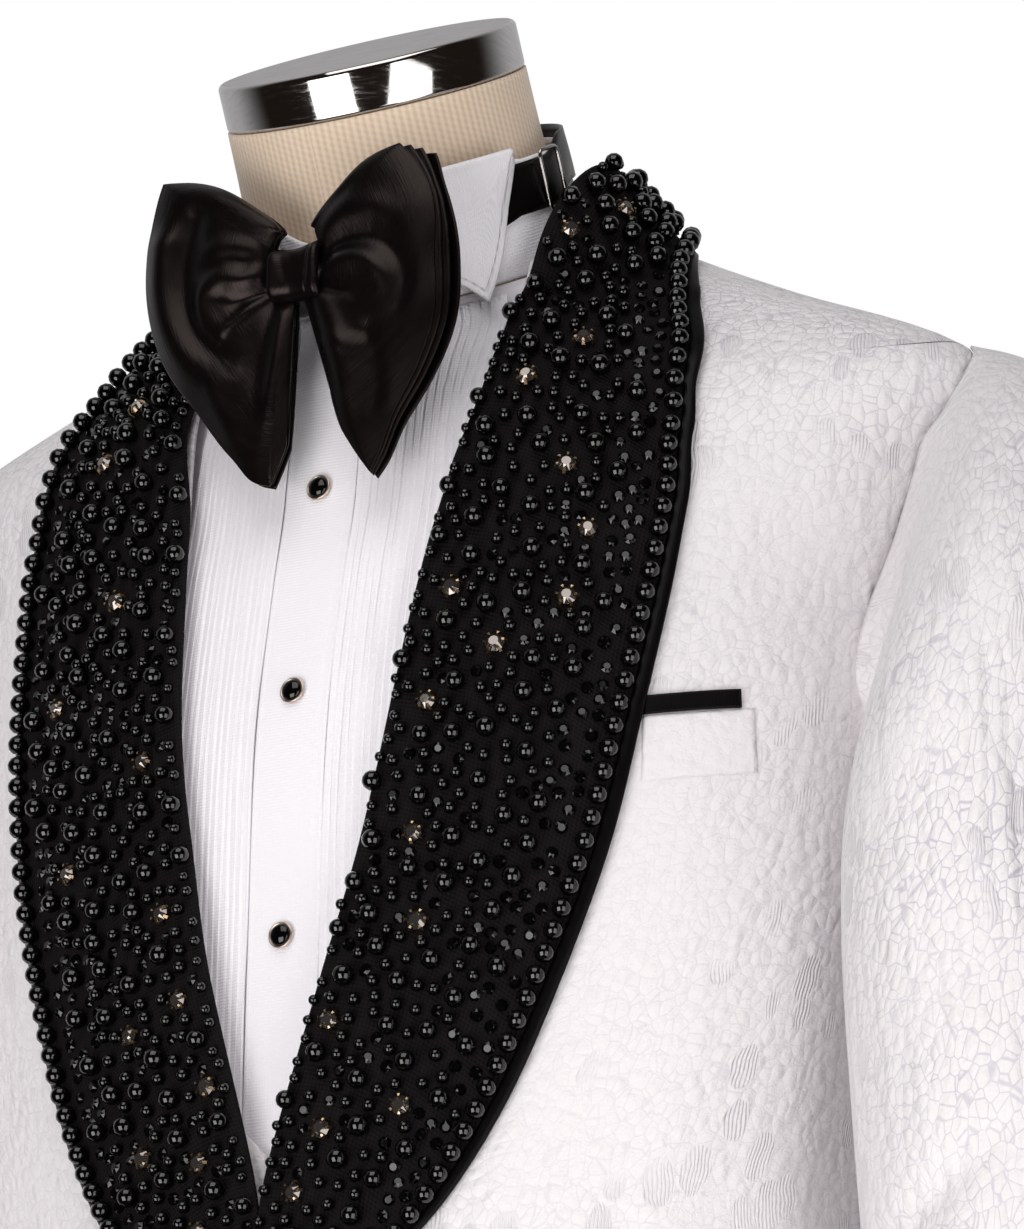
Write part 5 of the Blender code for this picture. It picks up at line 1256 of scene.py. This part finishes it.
# %% Copying a shape to many places
def copies(name, shape, places, normals, sizes, material, spin, tilt=0, smooth_shading=True, nodes=()):
    """Copy a shape to many places: p = place + size * (x e1 + y e2 + z n), turned by its own spin."""
    points, faces = shape
    normals = unit(normals + tilt)
    first = unit(np.cross(normals, (0.31, 0.2, 0.93)))
    second = np.cross(normals, first)
    c, s = np.cos(spin)[:, None], np.sin(spin)[:, None]
    axes = np.stack([first * c + second * s, second * c - first * s, normals], 1)
    made = places[:, None] + np.einsum("pk,nkx->npx", points, axes) * sizes[:, None, None]
    count = len(points)
    every = [[i + count * k for i in f] for k in range(len(places)) for f in faces]
    piece = put_mesh(name, made.reshape(-1, 3), every, smooth_shading=smooth_shading)
    settle(piece, material, nodes)
    print(name, len(places), "pieces of", len(faces), "faces")
    return piece


# %% Where the beads go
ROW_BEADS, ROW_SHARE = 72, 0.895  # the outer row
THROWS = (  # number, radius, kind, gap, shares from and to, run from and to
    (16, 0.0042, 1, 0.016, 0.08, 0.80, 0.04, 0.94),
    (16, 0.0036, 0, 0.010, 0.00, 0.05, 0.02, 0.98),
    (76, 0.0039, 0, 0.0045, 0.06, 0.80, 0.02, 0.74),
    (64, 0.0038, 0, 0.0008, 0.00, 0.82, 0.74, 1.0),
    (60, 0.0024, 3, 0.0006, 0.78, 0.83, 0.03, 0.98),
    (60, 0.0024, 3, 0.0006, 0.70, 0.77, 0.03, 0.98),
    (40, 0.0021, 2, 0.0010, 0.00, 0.03, 0.02, 1.0),
    (300, 0.0025, 2, 0.0006, 0.03, 0.82, 0.01, 1.0),
    (420, 0.0024, 3, 0.0003, 0.03, 0.82, 0.01, 1.0))
TRIES = 14  # places tried for each bead wanted


def throw_beads(seed):
    """Places (run, share, radius, kind) on one half of the collar. Kinds: 0 large bead, 1 rhinestone,
    2 small bead, 3 crystal. The outer row comes first, then each throw fills what is free: a bead is kept
    where its nearest neighbour is at least the gap away."""
    chooser = np.random.default_rng(seed)
    length = EDGE_RUN[-1]
    kept = [((k + 0.5) * length / ROW_BEADS, ROW_SHARE, 0.0038, 0) for k in range(ROW_BEADS)]
    spots = [collar_at(np.array(bead[0]), np.array(bead[1]), 0.0) for bead in kept]
    for number, radius, kind, gap, low, high, start, end in THROWS:
        runs = chooser.uniform(start * length, end * length, number * TRIES)
        shares = chooser.uniform(low, high, number * TRIES)
        radii = radius * chooser.uniform(0.94, 1.06, number * TRIES)
        done = 0
        for run, share, r, place in zip(runs, shares, radii, collar_at(runs, shares, 0.0)):
            near = np.linalg.norm(np.array(spots) - place, axis=1)
            reach = np.array([bead[2] for bead in kept])
            if done < number and np.all(near > reach + r + gap):
                kept.append((run, share, r, kind))
                spots.append(place)
                done += 1
    return np.array(kept)


STONE = cut_stone()
BEADS = (  # kind, name, shape, finish, slot, height above the cloth in radii, rounded, wobble
    (0, "large_beads", ball(12, 6), PEARL, "beads", 0.93, True, 0),
    (2, "small_beads", ball(10, 5), PEARL, "beads", 0.9, True, 0),
    (3, "crystals", STONE, CRYSTAL, "beads", 0.35, False, 1),
    (1, "rhinestones", cut_stone(10, 0.5, 0.5), RHINESTONE, "beads", 0.75, False, 0.3),
    (1, "rhinestone_claws", claws(), GOLD, "wire", 0.75, False, 0.3))
chooser = np.random.default_rng(5)
for side, seed in (("left", 11), ("right", 23)):
    beads = throw_beads(seed)
    flip = np.array((1.0 if side == "left" else -1.0, 1.0, 1.0))
    places = collar_at(beads[:, 0], beads[:, 1], WALL) * flip
    normals = collar_normal(beads[:, 0], beads[:, 1]) * flip
    kinds, radii = beads[:, 3].astype(int), beads[:, 2]
    spin = chooser.uniform(0, 6.28, len(beads))
    tilt = chooser.normal(0, 0.16, (len(beads), 3))
    for kind, label, shape, material, slot, lift, rounded, wobble in BEADS:
        pick = kinds == kind
        scale = radii[pick] * (0.84 if kind == 1 else 1.0)
        centre = places[pick] + normals[pick] * (scale * lift)[:, None]
        nodes = ["lapel_bead_row_" + side] if label == "large_beads" else []
        copies(f"{label}_{side}", shape, centre, normals[pick], scale, material, spin[pick],
               tilt[pick] * wobble, rounded, nodes)

# %% [markdown]
# Single crystals are also sewn to the lower sleeves, closer together towards the cuffs.

# %% Crystals on the sleeves
FIRST_ROW, LAST_ROW, TRIED = 95, 168, 400
runs = chooser.integers(FIRST_ROW, LAST_ROW, TRIED)
rounds = chooser.integers(0, AROUND, TRIED)
keep = chooser.uniform(0, 1, TRIED) < ((runs - FIRST_ROW + 3) / (LAST_ROW - FIRST_ROW + 3)) ** 1.6
spots, used = [], []
for r, c in zip(runs[keep], rounds[keep]):
    p = tube[r, c]
    if all(np.linalg.norm(p - q) > 0.009 for q in spots):
        spots.append(p)
        used.append((r, c))
used = np.array(used)
for side, sign in (("left", 1), ("right", -1)):
    flip = np.array((sign, 1.0, 1.0))
    places, normals = tube[used[:, 0], used[:, 1]] * flip, normal[used[:, 0], used[:, 1]] * flip
    copies("sleeve_crystals_" + side, STONE, places + normals * 0.0010, normals, np.full(len(used), 0.0031),
           CRYSTAL, chooser.uniform(0, 6.28, len(used)), smooth_shading=False)

# %% [markdown]
# ## The bow tie
# Two wide loops of satin with pointed lower tips, gathered by a knot. A loop is a fan: rays from the
# knot out to an outline given by angle and distance. Soft pleats spread from the knot and die out, and
# the edges of the folded layers show beside each other on the wearer's left.

# %% Outlines of the loops
KNOT, BOW_Y = (0.0, -0.1078, 1.4445), -0.1120
HIND_LEFT = np.array((  # angle, near, far
    (62, 0.0150, 0.0170), (55, 0.0150, 0.0330), (42.0, 0.0140, 0.0520), (31.5, 0.0130, 0.0672),
    (18, 0.0115, 0.0650), (-5, 0.0110, 0.0675), (-25, 0.0115, 0.0725), (-42, 0.0125, 0.0760),
    (-56, 0.0135, 0.0805), (-65, 0.0140, 0.0890), (-69, 0.0145, 0.0925), (-73, 0.0145, 0.0700)))
LOOP_RIGHT = np.array((
    (64, 0.0150, 0.0170), (54, 0.0150, 0.0300), (45, 0.0140, 0.0500), (35, 0.0130, 0.0705),
    (17, 0.0115, 0.0660), (-5, 0.0110, 0.0640), (-28, 0.0120, 0.0640), (-50, 0.0135, 0.0660),
    (-68, 0.0140, 0.0750), (-77, 0.0145, 0.0830), (-83, 0.0145, 0.0850), (-87, 0.0145, 0.0700)))
CORNER, TIP, LAST = 3, 10, 11  # rows of the tables: the upper corner, the lower tip and the end
LOOP_POINT = np.r_[np.linspace(0, CORNER, 26), np.linspace(CORNER, TIP, 78)[1:],
                   np.linspace(TIP, LAST, 16)[1:]]
front_share = np.interp(np.arange(LAST + 1), (0, CORNER, 5, 9, LAST), (0.97, 1.0, 0.885, 0.97, 1.0))
FRONT_LEFT = HIND_LEFT.copy()
FRONT_LEFT[:, 2] *= front_share
FRONT_LEFT[2:4, 0], FRONT_LEFT[2:4, 2] = (49.5, 41.5), (0.0465, 0.0598)


def outline(loop, column):
    """A column of a loop's table along its outline: curves between the two corners, which stay pointed."""
    parts = []
    for first, last in ((0, CORNER), (CORNER, TIP), (TIP, LAST)):
        before = LOOP_POINT < last if last < LAST else LOOP_POINT <= last
        inside = LOOP_POINT[(LOOP_POINT >= first) & before]
        parts.append(smooth(np.arange(first, last + 1), loop[first:last + 1, column], inside))
    return np.concatenate(parts)


def trail(x, z, path, width, height):
    """A fold along a curved path of (x, z) millimetres from the knot: a bell exp(-(d/width)^2) of the
    distance d to the path, a ridge or, where height is negative, a trough; it dies out at its far end."""
    path = np.array(path, float) / 1000
    run = np.r_[0, np.cumsum(np.hypot(*np.diff(path, axis=0).T))]
    at = np.linspace(0, run[-1], 60)
    line = np.stack([smooth(run, path[:, k], at) for k in range(2)], -1)
    gap = np.hypot(x[..., None] - line[:, 0], z[..., None] - line[:, 1])
    fade = step((60 - gap.argmin(-1)) / 26)
    return height / 1000 * fade * np.exp(-(gap.min(-1) / (width / 1000)) ** 2)


# %% A leaf and its folds
def loop_leaf(loop, side, puff, forward, reach_share, lift, trails):
    """A leaf: p = knot + reach (cos a, sin a) for angles a along the outline, swelling by
    puff (1 - |2 share - 1|^3) between knot and outline, with its folds added."""
    angle, near, far = (outline(loop, k)[:, None] for k in range(3))
    share = 1 - (1 - np.linspace(0, 1, 60 if trails else 30)[None, :]) ** 1.15
    reach = near + (far * reach_share - near) * share
    place = LOOP_POINT[:, None] / LAST
    a = np.radians(angle)
    x, z = reach * np.cos(a), reach * np.sin(a)
    swell = puff * (1 - np.abs(2 * share - 1) ** 3) * np.sin(math.pi * np.clip(place, 0, 1)) ** 0.5
    for path, width, height in trails:
        swell = swell + trail(side * x, z, path, width, height) * step(share / 0.1) ** 0.5
    y = BOW_Y + forward * (np.maximum(swell, 0.0002) + lift)
    return np.stack([KNOT[0] + side * x, y, KNOT[2] + z], -1)


def put_leaf(name, grid, side, forward, nodes=()):
    """A leaf as satin; its columns are turned round where needed, so that it faces away from the fold."""
    if side * forward > 0:
        grid = grid[:, ::-1]
    cloth(name, grid, SATIN, "satin", nodes, held="gathered", wall=0.0007, rests_on=["knot_cloth"])


FOLDS_RIGHT = (  # path in millimetres, width, height: the swirl of the wearer's right loop
    (((-56, 14), (-56, -4), (-52, -20), (-44, -33), (-30, -42), (-12, -46)), 7.0, 2.6),
    (((-42, 22), (-46, 6), (-44, -12), (-36, -25), (-24, -33), (-12, -37)), 6.0, -2.6),
    (((-9, -1), (-19, -4), (-29, -3), (-36, -8), (-36, -17), (-28, -25), (-16, -29)), 5.0, 2.6),
    (((-9, 3), (-19, 8), (-31, 9), (-40, 3)), 4.5, 1.8),
    (((-12, -9), (-22, -12), (-28, -16)), 3.6, -1.6),
    (((-7, -8), (-18, -16), (-30, -25), (-37, -32)), 1.6, 0.9),
    (((-8, 10), (-22, 24), (-40, 34), (-52, 37)), 6.0, 1.3),
    (((-4, -14), (-5, -33), (-8, -50), (-13, -70)), 3.0, 1.4),
    (((-9, -13), (-14, -34), (-17, -58)), 5.0, -1.6),
    (((-32, -46), (-27, -57), (-19, -72)), 5.0, 1.2))
FOLDS_LEFT = (
    (((10, -5), (22, -3), (33, -5), (39, -12), (37, -21)), 4.4, 2.4),
    (((10, 1), (24, 5), (38, 3), (46, -7), (45, -24), (34, -38)), 5.0, -2.2),
    (((8, 7), (22, 15), (36, 16), (47, 6)), 5.5, 1.6),
    (((7, 9), (18, 22), (32, 32)), 5.0, -1.2),
    (((8, -9), (18, -13), (27, -16), (30, -22)), 3.0, -1.8),
    (((7, -11), (17, -25), (23, -45), (26, -72)), 5.0, 1.8),
    (((5, -14), (9, -34), (16, -62)), 4.0, -1.4),
    (((15, -33), (30, -37), (42, -35)), 4.0, 0.9),
    (((33, -32), (36, -48), (33, -70)), 4.4, -1.4))

# %% The seven leaves
MIDDLE_LEFT, INNER_LEFT = (FRONT_LEFT * 2 + HIND_LEFT) / 3, (FRONT_LEFT + HIND_LEFT * 2) / 3
LEAVES = (  # name, outline, side, puff, forward (-1) or back (1), reach, lift, folds, node
    ("front_left", FRONT_LEFT, 1, 0.0042, -1, 1.0, 0.0034, FOLDS_LEFT, "bow_leaf_front_left"),
    ("middle_left", MIDDLE_LEFT, 1, 0.0026, -1, 1.0, 0.0024, (), None),
    ("inner_left", INNER_LEFT, 1, 0.0016, -1, 1.0, 0.0012, (), None),
    ("hind_left", HIND_LEFT, 1, 0.0034, 1, 1.0, 0.0006, (), "bow_leaf_hind_left"),
    ("front_right", LOOP_RIGHT, -1, 0.0055, -1, 1.0, 0.0024, FOLDS_RIGHT, "bow_leaf_front_right"),
    ("middle_right", LOOP_RIGHT, -1, 0.0020, -1, 0.985, 0.0006, (), None),
    ("hind_right", LOOP_RIGHT, -1, 0.0034, 1, 1.0, 0.0006, (), "bow_leaf_hind_right"))
for name, loop, side, puff, forward, reach, lift, trails, node in LEAVES:
    leaf = loop_leaf(loop, side, puff, forward, reach, lift, trails)
    put_leaf("bow_" + name, leaf, side, forward, [node] if node else [])

# %% [markdown]
# The knot is a flat band of satin round the middle, so its section is a rounded box with shallow tucks. The
# strap runs round the stand collar, with a slider of bent wire that sets its length.

# %% Knot
angle = full_turn(72)
u = np.linspace(-1, 1, 41)[:, None]
ends = np.clip((np.abs(u) - 0.90) / 0.10, 0, 1)
shrink = (1 - 0.10 * ends**2) * (1 - 0.05 * np.cos(math.pi * u))
c, s = np.cos(angle)[None, :], np.sin(angle)[None, :]
box = (np.abs(c) ** 4.5 + np.abs(s) ** 4.5) ** (-1 / 4.5)
tuck = 1 - 0.035 * np.exp(-((u - 0.62 - 0.12 * s) / 0.07) ** 2)
tuck = tuck - 0.012 * np.exp(-((u + 0.35 + 0.30 * s) / 0.16) ** 2)
grid = np.stack(np.broadcast_arrays(KNOT[0] + 0.0018 + 0.0102 * u, KNOT[1] - 0.0131 * c * box * shrink * tuck,
                                    KNOT[2] - 0.0045 + (0.0100 + 0.0006 * u) * s * box * shrink), -1)
cloth("knot_cloth", grid, SATIN, "satin", ["bow_knot"], closed=True, held="folded", wall=0.0009)

# %% Neck strap
STRAP_GAP = 0.005 + (2 * math.pi - 0.01) / 26  # half the gap in front, which the knot covers
turns = np.linspace(STRAP_GAP, 2 * math.pi - STRAP_GAP, 200)
side = np.clip((1 - np.cos(turns)) / (1 - math.cos(math.radians(66))), 0, 1)
half = 0.0072 + 0.0023 * step(side / 0.2)
climb = 0.0060 * step((np.degrees(np.minimum(turns, 2 * math.pi - turns)) - 84) / 16)
along = (0.0290 + 0.0120 * side + climb)[None, :] + half[None, :] * np.linspace(-1, 1, 7)[:, None]
lift = COLLAR_WALL + SEAM + STRAP_WALL + 0.0002 * np.cos(np.linspace(-1.4, 1.4, 7))[:, None]
points = neck_point(along, collar_radius(along, turns[None, :]) + lift, turns[None, :])
cloth("strap_cloth", points, SATIN, "satin", ["bow_strap"], wall=0.0009, held="folded",
      rests_on=["collar_stand_cloth"])


# %% Wire slider
def wire_loop(name, corners, radius, material, nodes=(), sides=10):
    """A bent wire: a circle carried along a closed path, p = path + r (cos t e1 + sin t e2)."""
    path = np.asarray(corners, float)
    ahead = unit(np.roll(path, -1, 0) - np.roll(path, 1, 0))
    middle = path.mean(0)
    plane = np.cross(path[0] - middle, path[len(path) // 4] - middle)
    plane /= np.linalg.norm(plane)
    side = np.cross(ahead, plane)
    t = full_turn(sides)
    circle = np.cos(t)[None, :, None] * side[:, None] + np.sin(t)[None, :, None] * plane
    tube = path[:, None] + radius * circle
    tube = np.concatenate([tube, tube[:1]])
    faces, _, _ = grid_faces(len(tube) - 1, sides, closed=True)
    last = (len(path) - 1) * sides + np.arange(sides)
    join = [[last[k], last[(k + 1) % sides], (k + 1) % sides, k] for k in range(sides)]
    piece = put_mesh(name, tube[:-1].reshape(-1, 3), [*[list(f) for f in faces], *join])
    return settle(piece, material, nodes)


SLIDER_TURN, SLIDER_AT = math.radians(84), 0.041
outer = float(collar_radius(SLIDER_AT, SLIDER_TURN)) + COLLAR_WALL + STRAP_WALL + 4 * SEAM + 0.0008
t = full_turn(48)
square = (np.abs(np.cos(t)) ** 8 + np.abs(np.sin(t)) ** 8) ** (-1 / 8)
ring = neck_point(SLIDER_AT + 0.0118 * np.sin(t) * square, outer,
                  SLIDER_TURN + 0.0062 * np.cos(t) * square / outer)
wire_loop("slider_wire", ring, 0.0008, WIRE, ["bow_slider"])

# %% [markdown]
# ## Light, floor and camera
# Two wide softboxes stand low at each side of the camera; they show as pale bands in the leaning steel cap
# and as a pair of small lights on every bead. A large panel fills the shoulders from above. The
# surroundings are dim in front and white behind, which edges every bead with a thin pale line.

# %% Lights
def direction(azimuth, elevation):
    """Unit vector from the form towards a place, given by degrees round from the front and up."""
    a, e = math.radians(azimuth), math.radians(elevation)
    return Vector((math.sin(a) * math.cos(e), -math.cos(a) * math.cos(e), math.sin(e)))


CAMERA_AZIMUTH = 29
BACK = direction(CAMERA_AZIMUTH, -15.5)


def place_facing(made, target, back, distance):
    """Link a lamp or camera that stands back from a target and looks at it."""
    bpy.context.scene.collection.objects.link(made)
    made.location = target + back * distance
    made.rotation_mode = "QUATERNION"
    made.rotation_quaternion = back.to_track_quat("Z", "Y")


def softbox(name, azimuth, elevation, distance, width, height, power):
    """A soft rectangular light that looks at the chest."""
    data = bpy.data.lights.new(name, "AREA")
    data.shape, data.size, data.size_y = "RECTANGLE", width, height
    data.energy, data.color = power, (1.0, 0.99, 0.98)
    lamp = bpy.data.objects.new(name, data)
    place_facing(lamp, Vector((0.0, 0.0, 1.3)), direction(azimuth, elevation), distance)


softbox("softbox_left", CAMERA_AZIMUTH - 33, -28, 1.8, 1.05, 1.25, 17)
softbox("softbox_right", CAMERA_AZIMUTH + 31, -26, 1.8, 1.05, 1.55, 11.5)
softbox("top_fill", 16, 50, 2.6, 2.2, 2.2, 29)
bpy.context.scene.view_settings.view_transform = "Standard"

# %% Surroundings and floor
world = bpy.data.worlds.new("studio")
bpy.context.scene.world = world
world.use_nodes = True
tree = world.node_tree
background = tree.nodes["Background"]
way = add(tree, "TexCoord", out=0)
facing = add(tree, "VectorMath", {0: way, 1: tuple(-BACK)}, out=1, operation="DOT_PRODUCT")
behind = add(tree, "MapRange", {"Value": facing, 1: 0.0, 2: 0.75, 3: 0.0, 4: 1.0}, **SOFT)
fill = add(tree, "Mix", {0: behind, 6: (0.26, 0.255, 0.255, 1.0), 7: (0.60, 0.60, 0.61, 1.0)}, **BLEND)
mirror = add(tree, "Mix", {0: behind, 6: (0.016, 0.011, 0.009, 1.0), 7: (0.50, 0.50, 0.51, 1.0)}, **BLEND)
room = add(tree, "Mix", {0: add(tree, "LightPath", out=3), 6: fill, 7: mirror}, **BLEND)
seen = add(tree, "Mix", {0: add(tree, "LightPath", out=0), 6: room, 7: (1.0, 1.0, 1.0, 1.0)}, **BLEND)
tree.links.new(seen, background.inputs["Color"])

corners = [(x * 6, y * 6, -0.0005) for x, y in ((-1, -1), (1, -1), (1, 1), (-1, 1))]
floor = put_mesh("floor", corners, [[0, 1, 2, 3]], smooth_shading=False)
floor.data.materials.append(make_hard("pale matte floor", "#E6E4E2", grit=0.02, wear=0.05, Roughness=0.8))
floor.visible_glossy = False
floor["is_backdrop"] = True

# %% Camera
FOCAL_PIXELS, PICTURE_PIXELS, SENSOR = 7800, 1229, 36
TARGET = Vector((0.0, 0.05, 1.35))
camera_data = bpy.data.cameras.new("camera")
camera_data.lens = FOCAL_PIXELS / PICTURE_PIXELS * SENSOR
camera_data.sensor_width = SENSOR
camera_data.clip_start, camera_data.clip_end = 0.1, 50
camera = bpy.data.objects.new("camera", camera_data)
place_facing(camera, TARGET, BACK, 3.0)
bpy.context.scene.camera = camera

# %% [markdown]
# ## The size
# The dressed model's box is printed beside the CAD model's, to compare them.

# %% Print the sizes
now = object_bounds()
for low, high in (CAD_BOX, now):
    print("box mm:", [round((b - a) * 1000, 1) for a, b in zip(low, high)])
